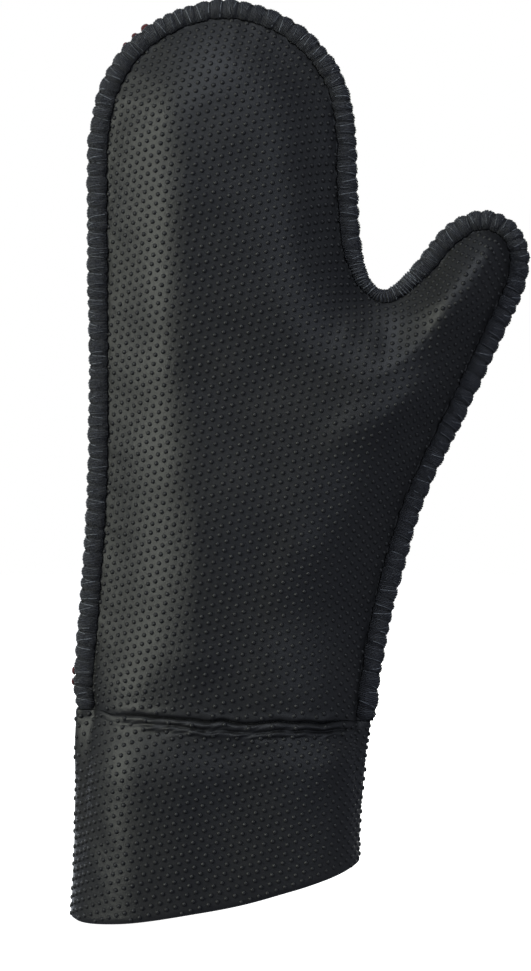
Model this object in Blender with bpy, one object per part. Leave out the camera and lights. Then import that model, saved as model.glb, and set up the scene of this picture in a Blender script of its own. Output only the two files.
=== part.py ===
"""Heat resistant cooking mitt with a thumb, a long gauntlet and a separate cuff band.

Frame: +Z towards the fingertips, -Y the palm side, +X the thumb side.
Origin: the centre of the cuff's mouth, in the plane of the side seams.

Each side of the mitt is three sheets: a rubber shell, an insulating felt and a cloth lining.
The sheets are cut at the three places where the mitt bends (wrist, knuckles and thumb root),
and each cut opens into a wedge on the side that closes, so that the rigid stretches can turn.
"""

import math

import bmesh
import bpy
import numpy as np
from mathutils import Vector
from mathutils.geometry import delaunay_2d_cdt

MM = 0.001

# Sheets and gaps, mm
SHELL = 2.5
FELT = 2.5
LINING = 1.0
GAP = 0.4
MIDPLANE_GAP = 0.15
FLANGE = MIDPLANE_GAP + SHELL

# Outer edge of the mitt, mm, as (x, z): up the little finger side ...
LITTLE_FINGER_SIDE = [
    (-60.1, 77.5), (-61.0, 89.0), (-58.4, 124.0), (-55.4, 167.5),
    (-54.6, 211.0), (-54.9, 277.0), (-55.1, 310.0),
]
# ... over the fingertips on a half circle ...
FINGERTIP_CENTRE = (3.3, 327.2)
FINGERTIP_RADIUS = 58.4
SHOULDER = 1.5  # how much flatter the arch is on the little finger side
SHOULDER_TURN = (math.radians(-25.0), math.radians(25.0), math.radians(60.0), math.radians(95.0))
# ... down to the crotch, round the thumb and down to the cuff.
CROTCH = (73.6, 259.2)
THUMB_SIDE = [
    (62.1, 306.0), (63.9, 281.0), (65.8, 270.1), (68.6, 263.0), CROTCH, (79.6, 262.2), (88.3, 271.8),
    (96.7, 282.6), (107.2, 290.9), (118.1, 293.7), (128.8, 289.9), (135.4, 281.2), (137.2, 271.4),
    (134.2, 257.1), (125.0, 237.5), (108.5, 202.6), (91.9, 167.7), (81.0, 132.9), (75.0, 106.7),
    (71.6, 86.0), (70.4, 77.5),
]

# Overlocked edge: width from the outer edge to the seam, mm
EDGE_WIDTH = 8.5
EDGE_WIDTH_AT_CROTCH = 5.5
EDGE_FULL_WIDTH_BEYOND = 26.0
THREAD = 1.3
THREAD_OUTSIDE_FLANGE = 1.5
THREAD_ROUNDING = 2.0
THREAD_SHOULDERS = (0.22, 0.15)  # shares of the width that round off at the outer edge and at the seam
THREAD_STEP_AT_SEAM = 0.4

# How far the filled mitt stands out from its seam on each side, mm
HAND_HEIGHT = 20.5
FINGERTIP_HEIGHT = 17.0
GAUNTLET_HEIGHT = 24.5
THUMB_HEIGHT = 14.5
HAND_ROUND = 36.0
GAUNTLET_ROUND = 44.0
THUMB_ROUND = 17.0
FULL_BELOW = 125.0  # under this the gauntlet's sides fill out to meet the round cuff
FULLNESS_AT_CUFF = 0.55

# Where one form passes into the next, mm
GAUNTLET_FORM_BELOW = 250.0
FINGERTIP_FORM = (290.0, 360.0)
THUMB_FORM = (-22.0, 14.0)  # measured across the thumb's hinge line
THUMB_FORM_X = (66.0, 86.0)

# Bending places: hinge lines in the plane of the seams, mm, and half of each swing, degrees
JOIN_Z = 77.5
WRIST_LINE = ((-80.0, 185.0), (120.0, 185.0))
KNUCKLE_LINE = ((-80.0, 282.0), (76.0, 282.0))
THUMB_LINE = ((76.5, 264.0), (128.5, 225.0))
WRIST_HALF = {"palm": 18.0, "back": 18.0}
KNUCKLE_HALF = {"palm": 31.0, "back": 6.0}
THUMB_HALF = {"palm": 23.5, "back": 6.0}

# Cuff band, mm
CUFF_TOP = (4.0, 64.5, 28.5, 1.65)  # centre x, half width, half depth, roundness (2 is an ellipse)
CUFF_HEM = (0.0, 63.0, 32.5, 2.0)
CUFF_TOP_Z = 72.6
HEM_SLOPE_X = 0.187
HEM_SLOPE_Y = 0.16
JOIN_RIB = 2.0
CLOSING_SEAM_WIDTH = 7.0
CLOSING_SEAM_THICK = 0.9
CLOSING_SEAM_OFF = 0.5
CLOSING_SEAM_SPAN = (0.02, 0.98)  # shares of the way down the band
JOIN_DEPTH = 0.8  # how far the join's thread reaches in behind the band's face

# The edge between cuts, from the cuff round to the cuff: thread piece, its section, point spacing in mm
EDGE_STRETCHES = [
    ("gauntlet_left_overlock", "gauntlet", 18.0),
    ("hand_left_overlock", "hand", 18.0),
    ("fingertip_overlock", "fingers", 14.0),
    ("crotch_overlock", "hand", 5.5),
    ("thumb_overlock", "thumb", 9.0),
    ("hand_right_overlock", "hand", 15.0),
    ("gauntlet_right_overlock", "gauntlet", 18.0),
]

# Fineness of the sheets and the cuff, mm and counts
ROWS = (4.0, 9.0)
INNER_GRID = 20.0
CUFF_SIDES = 36
CUFF_RINGS = 4
CLOSING_SEAM_RINGS = 7

MATERIALS = {
    "rubber": ((0.012, 0.012, 0.013), 0.55),
    "felt": ((0.30, 0.29, 0.27), 0.95),
    "lining": ((0.22, 0.02, 0.02), 0.9),
    "thread": ((0.008, 0.010, 0.012), 0.7),
}


def smooth(value):
    value = np.clip(value, 0.0, 1.0)
    return value * value * (3.0 - 2.0 * value)


def between(limits, value):
    """A smooth rise from 0 at the first limit to 1 at the second."""
    return smooth((value - limits[0]) / (limits[1] - limits[0]))


def dense_curve(points, steps=12):
    """A Catmull-Rom curve through the points."""
    points = [np.array(p) for p in points]
    ends = [2 * points[0] - points[1]] + points + [2 * points[-1] - points[-2]]
    curve = []
    for a, b, c, d in zip(ends, ends[1:], ends[2:], ends[3:]):
        for step in range(steps):
            t = step / steps
            square = (2 * a - 5 * b + 4 * c - d) * t**2
            cube = (3 * b - a - 3 * c + d) * t**3
            curve.append((2 * b + (c - a) * t + square + cube) / 2)
    curve.append(points[-1])
    return np.array(curve)


def arch_radius(turn):
    """The fingertip arch's radius, from the little finger side (0) to the thumb side (pi)."""
    return FINGERTIP_RADIUS - SHOULDER * between(SHOULDER_TURN[:2], turn) * (1.0 - between(SHOULDER_TURN[2:], turn))


def edge_curve():
    """The mitt's outer edge as a fine line from the cuff, over the fingertips, back to the cuff."""
    arch = [
        (
            FINGERTIP_CENTRE[0] - arch_radius(turn) * math.cos(turn),
            FINGERTIP_CENTRE[1] + arch_radius(turn) * math.sin(turn),
        )
        for turn in np.linspace(0.0, math.pi, 9)
    ]
    return dense_curve(LITTLE_FINGER_SIDE + arch + THUMB_SIDE)


def inward_normals(line):
    along = np.gradient(line, axis=0)
    along /= np.linalg.norm(along, axis=1)[:, None]
    return np.stack([along[:, 1], -along[:, 0]], axis=1)


def edge_width(points):
    near = np.linalg.norm(points - np.array(CROTCH), axis=1) / EDGE_FULL_WIDTH_BEYOND
    return EDGE_WIDTH_AT_CROTCH + (EDGE_WIDTH - EDGE_WIDTH_AT_CROTCH) * smooth(near)


def distance_to(line, points):
    """The distance from each point to a line of points, and the direction away from the line."""
    start, run = line[:-1], line[1:] - line[:-1]
    offset = points[:, None, :] - start[None]
    t = np.clip((offset * run).sum(2) / (run * run).sum(1), 0.0, 1.0)
    gap = offset - t[..., None] * run
    size = np.linalg.norm(gap, axis=2)
    nearest = size.argmin(1)
    rows = np.arange(len(points))
    away = gap[rows, nearest] / np.maximum(size[rows, nearest], 1e-6)[:, None]
    return size[rows, nearest], away


def inside(loop, points):
    """Which of the points lie inside a closed loop."""
    a, b = loop, np.roll(loop, -1, axis=0)
    x, z = points[:, :1], points[:, 1:]
    rising = np.where(b[:, 1] == a[:, 1], 1e-9, b[:, 1] - a[:, 1])
    crosses = ((a[:, 1] > z) != (b[:, 1] > z)) & (x < a[:, 0] + (z - a[:, 1]) / rising * (b[:, 0] - a[:, 0]))
    return crosses.sum(1) % 2 == 1


class Cut:
    """A straight cut through the seam plane, with the wedge that opens from it."""

    def __init__(self, name, line, half):
        self.name = name
        self.start, self.end = (np.array(point) for point in line)
        self.length = np.linalg.norm(self.end - self.start)
        self.along = (self.end - self.start) / self.length
        self.normal = np.array([-self.along[1], self.along[0]])
        self.half = half

    def side(self, points):
        return (points - self.start) @ self.normal

    def holds(self, points, within=0.05):
        along = (points - self.start) @ self.along
        return (np.abs(self.side(points)) < within) & (along > -within) & (along < self.length + within)

    def wedge(self, side, y):
        """How far a section's end stands back from the cut at the height y."""
        return GAP / 2 + np.abs(y) * math.tan(math.radians(self.half[side]))

    def crossings(self, line):
        """Where a line crosses the cut, as places along the line counted in points."""
        side = self.side(line)
        places = []
        for i in np.nonzero(side[:-1] * side[1:] < 0.0)[0]:
            place = i + side[i] / (side[i] - side[i + 1])
            if self.holds(at(line, place)[None])[0]:
                places.append(place)
        return places


WRIST = Cut("wrist", WRIST_LINE, WRIST_HALF)
KNUCKLE = Cut("knuckle", KNUCKLE_LINE, KNUCKLE_HALF)
THUMB = Cut("thumb", THUMB_LINE, THUMB_HALF)
CUTS = [WRIST, KNUCKLE, THUMB]

# The cuts that end each section, and on which side of the cut it lies
SECTION_ENDS = {
    "gauntlet": {"wrist": -1.0},
    "hand": {"wrist": 1.0, "knuckle": -1.0, "thumb": -1.0},
    "fingers": {"knuckle": 1.0},
    "thumb": {"thumb": 1.0},
}


def at(line, place):
    low = min(int(place), len(line) - 2)
    return line[low] + (line[low + 1] - line[low]) * (place - low)


def stations():
    """Paired points along the outer edge and the seam, each with the name of the cut that it lies on."""
    edge = edge_curve()
    seam = edge + inward_normals(edge) * edge_width(edge)[:, None]
    stops = [(0, 0, "join")]
    for cut in CUTS:
        stops += [(*places, cut.name) for places in zip(cut.crossings(edge), cut.crossings(seam))]
    stops = sorted(stops) + [(len(edge) - 1, len(seam) - 1, "join")]
    pairs = []
    for (edge_a, seam_a, name), (edge_b, seam_b, _), stretch in zip(stops, stops[1:], EDGE_STRETCHES):
        length = np.linalg.norm(np.diff(edge[int(edge_a) : int(edge_b) + 1], axis=0), axis=1).sum()
        count = max(2, round(length / stretch[2]))
        for step in range(count):
            share = step / count
            on_edge = at(edge, edge_a + (edge_b - edge_a) * share)
            on_seam = at(seam, seam_a + (seam_b - seam_a) * share)
            pairs.append((on_edge, on_seam, name if step == 0 else None))
    pairs.append((edge[-1], seam[-1], "join"))
    return pairs


def filled_form(points):
    """How far the shell's outer face rises above its flange, over what width, and how fully at the sides."""
    z = points[:, 1]
    low = smooth((GAUNTLET_FORM_BELOW - z) / (GAUNTLET_FORM_BELOW - JOIN_Z))
    high = between(FINGERTIP_FORM, z)
    height = HAND_HEIGHT + (GAUNTLET_HEIGHT - HAND_HEIGHT) * low + (FINGERTIP_HEIGHT - HAND_HEIGHT) * high
    width = HAND_ROUND + (GAUNTLET_ROUND - HAND_ROUND) * low
    thumb = between(THUMB_FORM, THUMB.side(points)) * between(THUMB_FORM_X, points[:, 0])
    height = height + (THUMB_HEIGHT - height) * thumb
    width = width + (THUMB_ROUND - width) * thumb
    full = 1.0 + (FULLNESS_AT_CUFF - 1.0) * smooth((FULL_BELOW - z) / (FULL_BELOW - JOIN_Z))
    return height, width, full


class Plan:
    """The flat pattern that every sheet of the mitt shares: points, triangles and the section of each."""

    def __init__(self):
        self.pairs = stations()
        edge = np.array([pair[0] for pair in self.pairs])
        self.seam = np.array([pair[1] for pair in self.pairs])
        self.normals = inward_normals(self.seam)
        flange = edge + (self.seam - edge) * (THREAD_OUTSIDE_FLANGE / edge_width(edge))[:, None]
        join = Cut("join", (flange[0], flange[-1]), WRIST_HALF)
        self.ends = [*CUTS, join]

        points = [*flange, *self.seam]
        count = len(flange)
        lines = [(i, i + 1) for row in (0, count) for i in range(row, row + count - 1)]
        for cut in self.ends:
            self.add_cut(cut, points, lines)
        self.add_rows(points)
        self.add_inner(points)
        found = delaunay_2d_cdt([Vector(p) for p in points], lines, [], 0, 1e-4)
        self.points = np.array([tuple(p) for p in found[0]])
        triangles = np.array([tuple(face) for face in found[2]])
        self.triangles = triangles[inside(flange, self.points[triangles].mean(1))]
        self.middle = self.points[self.triangles].mean(1)

        below = np.array([[0.0, -JOIN_Z], [0.0, -JOIN_Z]])
        filled = np.vstack([self.seam, self.seam[[-1, 0]] + below])
        self.in_flange = ~inside(filled, self.middle)
        depth, self.away = distance_to(self.seam, self.points)
        self.depth = np.where(inside(filled, self.points) | (depth < 1e-3), depth, -depth)
        for i in np.nonzero(depth < 1e-3)[0]:
            self.away[i] = self.normals[np.linalg.norm(self.seam - self.points[i], axis=1).argmin()]
        self.follow_cuts()
        self.height, self.width, self.full = filled_form(self.points)

    def add_cut(self, cut, points, lines):
        """Points along a cut, at the rows' depths near the seam and evenly between them."""
        count = len(self.pairs)
        stops = [i for i, pair in enumerate(self.pairs) if pair[2] == cut.name]
        low, high = count + stops[0], count + stops[-1]
        start, end = points[low], points[high]
        length = np.linalg.norm(end - start)
        middle = np.linspace(ROWS[-1], length - ROWS[-1], 1 + max(1, round(length / INNER_GRID - 1)))
        chain = [low]
        for place in sorted([*ROWS[:-1], *middle, *(length - row for row in ROWS[:-1])]):
            chain.append(len(points))
            points.append(start + (end - start) * (place / length))
        chain.append(high)
        lines += [*zip(chain, chain[1:]), (low, low - count), (high, high - count)]

    def add_rows(self, points):
        """Rows of points that follow the seam, left out beside a cut, which has its own."""
        for row in ROWS:
            line = self.seam + self.normals * row
            clear = distance_to(self.seam, line)[0] > 0.9 * row
            clear &= ~np.any([cut.holds(line, 5.0) for cut in self.ends], axis=0)
            points += [*line[clear]]

    def add_inner(self, points):
        """An even grid of points over the rest."""
        x = np.arange(-60.0, 140.0, INNER_GRID)
        z = np.arange(JOIN_Z + INNER_GRID, 390.0, INNER_GRID)
        grid = np.stack(np.meshgrid(x, z), axis=-1).reshape(-1, 2)
        grid = grid[inside(self.seam, grid)]
        clear = distance_to(self.seam, grid)[0] > ROWS[-1] + 0.45 * INNER_GRID
        clear &= ~np.any([cut.holds(grid, 0.45 * INNER_GRID) for cut in self.ends], axis=0)
        points += [*grid[clear]]

    def follow_cuts(self):
        """Make the points on a cut move inwards along it, not square to the seam."""
        for cut in self.ends:
            on_cut = cut.holds(self.points)
            lean = self.away @ cut.along
            lean = np.sign(lean) * np.maximum(np.abs(lean), 0.4)
            self.away = np.where(on_cut[:, None], cut.along / lean[:, None], self.away)

    def section(self, name):
        """Which triangles belong to one stretch of the mitt."""
        thumb = (THUMB.side(self.middle) > 0.0) & (self.middle[:, 0] > THUMB.start[0])
        above_wrist, above_knuckle = (cut.side(self.middle) > 0.0 for cut in (WRIST, KNUCKLE))
        chosen = {
            "gauntlet": ~above_wrist,
            "hand": above_wrist & ~above_knuckle & ~thumb,
            "fingers": above_knuckle & ~thumb,
            "thumb": thumb,
        }
        return chosen[name]


def stand_back(points, pattern, y, section, side):
    """Move the points whose place in the pattern is on a section's cuts back by the wedge."""
    moved = points.copy()
    for cut in CUTS:
        sign = SECTION_ENDS[section].get(cut.name, 0.0)
        back = np.where(cut.holds(pattern), cut.wedge(side, y), 0.0)
        moved += sign * back[:, None] * cut.normal
    return moved


def sheet_face(plan, used, section, side, face):
    """Points of one face of a sheet, which leaves the seam plane at the depth start and the height base."""
    start, base, lost = face
    pattern, depth = plan.points[used], plan.depth[used]
    shift = np.where(depth >= 0.0, start * np.clip(1.0 - depth / ROWS[-1], 0.0, 1.0), 0.0)
    reach = np.clip((depth + shift - start) / (plan.width[used] - start), 0.0, 1.0)
    y = base + (plan.height[used] - lost) * np.sin(reach * math.pi / 2) ** plan.full[used]
    flat = pattern + plan.away[used] * shift[:, None]
    return stand_back(flat, pattern, y, section, side), y


def material(name):
    made = bpy.data.materials.get(name)
    if made is None:
        colour, roughness = MATERIALS[name]
        made = bpy.data.materials.new(name)
        made.use_nodes = True
        shader = made.node_tree.nodes["Principled BSDF"]
        shader.inputs["Base Color"].default_value = (*colour, 1.0)
        shader.inputs["Roughness"].default_value = roughness
        shader.inputs["Metallic"].default_value = 0.0
    return made


def add_object(name, points, faces, surface):
    """A closed mesh object from points in mm, with its faces turned outwards."""
    mesh = bpy.data.meshes.new(name)
    mesh.from_pydata([tuple(c * MM for c in p) for p in points], [], faces)
    editor = bmesh.new()
    editor.from_mesh(mesh)
    bmesh.ops.triangulate(editor, faces=[f for f in editor.faces if len(f.verts) > 3])
    bmesh.ops.recalc_face_normals(editor, faces=editor.faces)
    editor.to_mesh(mesh)
    editor.free()
    mesh.shade_smooth()
    mesh.set_sharp_from_angle(angle=math.radians(40.0))
    mesh.materials.append(material(surface))
    made = bpy.data.objects.new(name, mesh)
    bpy.context.scene.collection.objects.link(made)
    return made


def add_sheet(plan, section, side, layer, surface, faces_of_layer, with_flange):
    """One sheet of one section: two faces that share the plan's triangles, closed by a rim."""
    chosen = plan.section(section)
    if not with_flange:
        chosen = chosen & ~plan.in_flange
    used, local = np.unique(plan.triangles[chosen], return_inverse=True)
    local = [tuple(triangle) for triangle in local.reshape(-1, 3)]
    sign = -1.0 if side == "palm" else 1.0
    count = len(used)
    points = []
    for face in faces_of_layer:
        flat, y = sheet_face(plan, used, section, side, face)
        points += [(x, sign * rise, z) for (x, z), rise in zip(flat, y)]
    edges = {pair for a, b, c in local for pair in ((a, b), (b, c), (c, a))}
    rim = sorted(pair for pair in edges if pair[::-1] not in edges)
    faces = local + [(c + count, b + count, a + count) for a, b, c in local]
    faces += [(b, a, a + count, b + count) for a, b in rim]
    add_object(f"{section}_{side}_{layer}", points, faces, surface)


def add_mitt_sheets(plan):
    """The three sheets of each side of each section, from the outside in."""
    felt = SHELL + GAP
    lining = felt + FELT + GAP
    # Each face has its depth at the seam, its height there, and the height it loses to the sheets over it
    layers = [
        ("shell", "rubber", [(0.0, FLANGE, 0.0), (SHELL, MIDPLANE_GAP, 0.0)], True),
        ("insulation", "felt", [(d, MIDPLANE_GAP, d - SHELL) for d in (felt, felt + FELT)], False),
        ("lining", "lining", [(d, MIDPLANE_GAP, d - SHELL) for d in (lining, lining + LINING)], False),
    ]
    for section in SECTION_ENDS:
        for side in ("palm", "back"):
            for layer in layers:
                add_sheet(plan, section, side, *layer)


def overlock_profile(width):
    """The wrapped thread's section, as (share of the way from the edge to the seam, y)."""
    slot = FLANGE + GAP
    outside = slot + THREAD
    reach = 1.0 - GAP / width
    inner = (THREAD_OUTSIDE_FLANGE - GAP) / width
    at_edge, at_seam = THREAD_SHOULDERS
    upper = [
        (reach, slot), (reach, outside - THREAD_STEP_AT_SEAM), (reach - at_seam, outside),
        (at_edge, outside), (0.0, outside - THREAD_ROUNDING),
    ]
    lower = [(share, -y) for share, y in reversed(upper)]
    return upper + lower + [(inner, -slot), (inner, slot)]


def add_overlock(plan):
    """The whipped thread round the edge, in one piece for each stretch between cuts."""
    stops = [i for i, pair in enumerate(plan.pairs) if pair[2] is not None]
    for (name, section, _), first, last in zip(EDGE_STRETCHES, stops, stops[1:]):
        rings = []
        for edge, seam, _ in plan.pairs[first : last + 1]:
            ring = []
            for share, y in overlock_profile(np.linalg.norm(seam - edge)):
                flat = (edge + (seam - edge) * share)[None]
                side = "palm" if y < 0.0 else "back"
                x, z = stand_back(flat, flat, np.array([y]), section, side)[0]
                ring.append((x, y, z))
            rings.append(ring)
        add_object(name, *closed_sweep(rings), "thread")


def closed_sweep(rings):
    count = len(rings[0])
    points = [point for ring in rings for point in ring]
    faces = [tuple(range(count)), tuple(range(len(points) - 1, len(points) - 1 - count, -1))]
    for row in range(len(rings) - 1):
        for i in range(count):
            a, b = row * count + i, row * count + (i + 1) % count
            faces.append((a, a + count, b + count, b))
    return points, faces


def cuff_point(turn, down, inset):
    """A point of the cuff: turn round it, down from its top (0) to its hem (1), inset from its face."""
    x0, half_x, half_y, round_ = (top + (hem - top) * down for top, hem in zip(CUFF_TOP, CUFF_HEM))
    across, out = math.cos(turn), math.sin(turn)
    x = x0 + (half_x - inset) * math.copysign(abs(across) ** (2 / round_), across)
    y = (half_y - inset) * math.copysign(abs(out) ** (2 / round_), out)
    hem = HEM_SLOPE_X * x + HEM_SLOPE_Y * y
    return x, y, CUFF_TOP_Z + (hem - CUFF_TOP_Z) * down


def add_ring_solid(name, surface, section):
    """A closed ring with the same section, a list of points for each turn, all the way round."""
    rings = [section(2 * math.pi * step / CUFF_SIDES) for step in range(CUFF_SIDES)]
    count = len(rings[0])
    points = [point for ring in rings for point in ring]
    faces = []
    for row in range(CUFF_SIDES):
        after = (row + 1) % CUFF_SIDES
        for i in range(count):
            j = (i + 1) % count
            faces.append((row * count + i, after * count + i, after * count + j, row * count + j))
    return add_object(name, points, faces, surface)


def add_cuff():
    downs = [step / (CUFF_RINGS - 1) for step in range(CUFF_RINGS)]

    def band(turn):
        outside = [cuff_point(turn, down, 0.0) for down in downs]
        return outside + [cuff_point(turn, down, SHELL) for down in reversed(downs)]

    def lining(turn):
        outside = [cuff_point(turn, down, SHELL + GAP) for down in downs]
        return outside + [cuff_point(turn, down, SHELL + GAP + LINING) for down in reversed(downs)]

    def join(turn):
        low, high = CUFF_TOP_Z + GAP, JOIN_Z - GAP
        outer = cuff_point(turn, 0.0, -JOIN_RIB)[:2]
        face = cuff_point(turn, 0.0, JOIN_DEPTH)[:2]
        inner = cuff_point(turn, 0.0, SHELL + GAP + LINING)[:2]
        middle = (low + high) / 2
        return [(*inner, high), (*face, high), (*outer, middle), (*face, low), (*inner, low)]

    add_ring_solid("cuff_band", "rubber", band)
    add_ring_solid("cuff_lining", "lining", lining)
    add_ring_solid("cuff_join_seam", "thread", join)

    half_turn = CLOSING_SEAM_WIDTH / 2 / CUFF_TOP[1]
    rings = []
    near, far = -CLOSING_SEAM_OFF, -CLOSING_SEAM_OFF - CLOSING_SEAM_THICK
    turns = (math.pi / 2 - half_turn, math.pi / 2 + half_turn)
    for down in np.linspace(*CLOSING_SEAM_SPAN, CLOSING_SEAM_RINGS):
        ring = [cuff_point(turns[0], down, near), cuff_point(turns[1], down, near)]
        ring += [cuff_point(turns[1], down, far), cuff_point(turns[0], down, far)]
        rings.append(ring)
    add_object("cuff_closing_seam", *closed_sweep(rings), "thread")


def main():
    for old in list(bpy.data.objects):
        bpy.data.objects.remove(old)
    plan = Plan()
    add_mitt_sheets(plan)
    add_overlock(plan)
    add_cuff()


main()
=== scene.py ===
"""Looks of the heat resistant cooking mitt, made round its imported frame.

Lengths are in millimetres until a mesh is made. -Y is the palm side, +Z points to the fingertips.
The rubber is embossed all over with small round dots, and the two sides are joined round the edge
by wrapped yarn. Three bends (wrist, knuckles, thumb root) share the body "hand", so each sheet is
made as a lower, a fingers and a thumb panel, which meet where only the hand moves them.
"""

import math

import bpy
import numpy as np
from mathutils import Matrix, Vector
from mathutils.geometry import delaunay_2d_cdt


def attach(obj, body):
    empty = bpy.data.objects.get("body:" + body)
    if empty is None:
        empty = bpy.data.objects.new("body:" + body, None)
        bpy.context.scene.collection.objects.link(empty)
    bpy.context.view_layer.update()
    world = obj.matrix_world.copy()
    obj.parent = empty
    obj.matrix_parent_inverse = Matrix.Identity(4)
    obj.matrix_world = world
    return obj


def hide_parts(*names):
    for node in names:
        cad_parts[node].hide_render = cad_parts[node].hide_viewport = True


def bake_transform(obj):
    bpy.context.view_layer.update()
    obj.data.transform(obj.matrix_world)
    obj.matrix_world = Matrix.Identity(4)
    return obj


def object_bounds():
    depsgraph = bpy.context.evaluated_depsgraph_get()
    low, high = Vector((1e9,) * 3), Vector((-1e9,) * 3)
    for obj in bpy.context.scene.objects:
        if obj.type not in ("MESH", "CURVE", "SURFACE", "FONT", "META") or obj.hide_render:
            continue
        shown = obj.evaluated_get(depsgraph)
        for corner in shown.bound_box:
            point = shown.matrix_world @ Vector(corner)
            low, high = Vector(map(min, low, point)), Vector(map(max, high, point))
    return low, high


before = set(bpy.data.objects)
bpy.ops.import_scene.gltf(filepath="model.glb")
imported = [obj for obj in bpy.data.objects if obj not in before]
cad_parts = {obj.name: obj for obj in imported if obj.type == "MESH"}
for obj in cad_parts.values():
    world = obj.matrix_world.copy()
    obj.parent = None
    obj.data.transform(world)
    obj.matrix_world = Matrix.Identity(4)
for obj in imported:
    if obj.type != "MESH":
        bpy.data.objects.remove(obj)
cad_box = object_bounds()

MM = 0.001

# ---------------------------------------------------------------- the mitt's form, as in the frame

SHELL = 2.5
FELT = 2.5
LINING = 1.0
GAP = 0.4
MIDPLANE_GAP = 0.15
FLANGE = MIDPLANE_GAP + SHELL

LITTLE_FINGER_SIDE = [
    (-60.1, 77.5), (-61.0, 89.0), (-58.4, 124.0), (-55.4, 167.5),
    (-54.6, 211.0), (-54.9, 277.0), (-55.1, 310.0),
]
FINGERTIP_CENTRE = (3.3, 327.2)
FINGERTIP_RADIUS = 58.4
SHOULDER = 1.5  # how much flatter the arch is on the little finger side
SHOULDER_TURN = (math.radians(-25.0), math.radians(25.0), math.radians(60.0), math.radians(95.0))
CROTCH = (73.6, 259.2)
THUMB_SIDE = [
    (62.1, 306.0), (63.9, 281.0), (65.8, 270.1), (68.6, 263.0), CROTCH, (79.6, 262.2), (88.3, 271.8),
    (96.7, 282.6), (107.2, 290.9), (118.1, 293.7), (128.8, 289.9), (135.4, 281.2), (137.2, 271.4),
    (134.2, 257.1), (125.0, 237.5), (108.5, 202.6), (91.9, 167.7), (81.0, 132.9), (75.0, 106.7),
    (71.6, 86.0), (70.4, 77.5),
]
EDGE_WIDTH = 8.5
EDGE_WIDTH_AT_CROTCH = 5.5
EDGE_FULL_WIDTH_BEYOND = 26.0
THREAD = 1.3
THREAD_OUTSIDE_FLANGE = 1.5

HAND_HEIGHT = 20.5
FINGERTIP_HEIGHT = 17.0
GAUNTLET_HEIGHT = 24.5
THUMB_HEIGHT = 14.5
HAND_ROUND = 36.0
GAUNTLET_ROUND = 44.0
THUMB_ROUND = 17.0
FULL_BELOW = 125.0
FULLNESS_AT_CUFF = 0.55
GAUNTLET_FORM_BELOW = 250.0
FINGERTIP_FORM = (290.0, 360.0)
THUMB_FORM = (-22.0, 14.0)
THUMB_FORM_X = (66.0, 86.0)
THUMB_LINE = ((76.5, 264.0), (128.5, 225.0))
SLOPE_STEEPNESS = 1.22
SLOPE_TURN = 4.0
SLOPE_SHARE = 0.66
SHIFT_FADE = 9.0  # depth over which a deeper layer's edge stands in from the seam

JOIN_Z = 77.5
CUFF_TOP_X, CUFF_TOP_HALF = 4.0, 64.3
CUFF_HEM_X, CUFF_HEM_HALF, CUFF_HEM_DEPTH = 0.0, 63.0, 32.5
HEM_SLOPE_X = 0.187
HEM_SLOPE_Y = 0.16

# ---------------------------------------------------------------- looks

CREASE_Z = 74.5  # the stitched crease between the gauntlet and the cuff, at the middle
CREASE_TILT = -0.042  # it drops towards the thumb side
CREASE_TILT_FADE = 18.0
CREASE_HALF = 0.15
EDGE_BOTTOM = CREASE_Z + CREASE_HALF
DOTS_ABOVE_CREASE = 1.7
DOTS_BELOW_CREASE = 1.3
NO_DOTS_BELOW_CREASE = (2.5, 5.6)  # between these the cuff has no dots where its rolls stand out
ROLLS_STAND_OUT = 0.6
DOT_PITCH = 3.95
DOT_TURN = math.radians(17.5)  # the rows of dots rise to the right
DOT_RADIUS = 1.12
DOT_CLEAR = 0.6  # least distance from a dot's centre to a seam
SPLIT_Z = 218.0
SPLIT_X = CROTCH[0]

SHELL_GRID = 2.3  # side of a triangle away from the seam
SHELL_ROWS = (0.6, 1.4, 2.5, 4.0, 6.0, 8.5)  # rows of points beside the seam, by their distance
INNER_GRID = 4.5
INNER_ROWS = (1.5, 4.0, 8.5)
JOIN_ROWS = (0.4, 0.9, 1.5, 2.2, 3.0, 4.0, 5.2, 6.6)  # and above the crease
EVEN_ROW = 0.866  # between the rows of a grid of even triangles, as a share of a side
PATTERN_LEFT, PATTERN_RIGHT, PATTERN_TOP = -80.0, 140.0, 390.0
NOISE_CELLS, NOISE_SHIFT = 61, 7.3


def stack(*parts):
    """The parts side by side along a new last axis."""
    return np.stack(parts, axis=-1)


def smooth(value):
    value = np.clip(value, 0.0, 1.0)
    return value * value * (3.0 - 2.0 * value)


def between(limits, value):
    """A smooth rise from 0 at the first limit to 1 at the second."""
    return smooth((value - limits[0]) / (limits[1] - limits[0]))


def mix(low, high, share):
    return low * (1 - share) + high * share


def bell(value, half):
    """A soft hump of height 1 round 0."""
    return np.exp(-((value / half) ** 2))


def between_cells(table, low, high, share):
    """A table's value between the cells low and high, each given as its two indices."""
    (i, j), (i1, j1), (u, v) = low, high, share
    return mix(mix(table[i, j], table[i1, j], u), mix(table[i, j1], table[i1, j1], u), v)


def noise(points, size, seed):
    """Smooth random values from -1 to 1 over the plane, with features of about the given size."""
    table = np.random.RandomState(seed).uniform(-1.0, 1.0, (NOISE_CELLS, NOISE_CELLS))
    scaled = np.moveaxis(np.asarray(points) / size + NOISE_SHIFT, -1, 0)
    cell = np.floor(scaled).astype(int)
    return between_cells(table, cell % NOISE_CELLS, (cell + 1) % NOISE_CELLS, smooth(scaled - cell))


def wave(values, size, seed):
    """The same along a line."""
    values = np.asarray(values, dtype=float)
    return noise(stack(values, np.zeros_like(values)), size, seed)


def unit(vectors):
    return vectors / np.maximum(np.linalg.norm(vectors, axis=-1), 1e-9)[..., None]


def run_of(line):
    """The distance along a line at each of its points."""
    return np.concatenate([[0.0], np.cumsum(np.linalg.norm(np.diff(line, axis=0), axis=1))])


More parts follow.
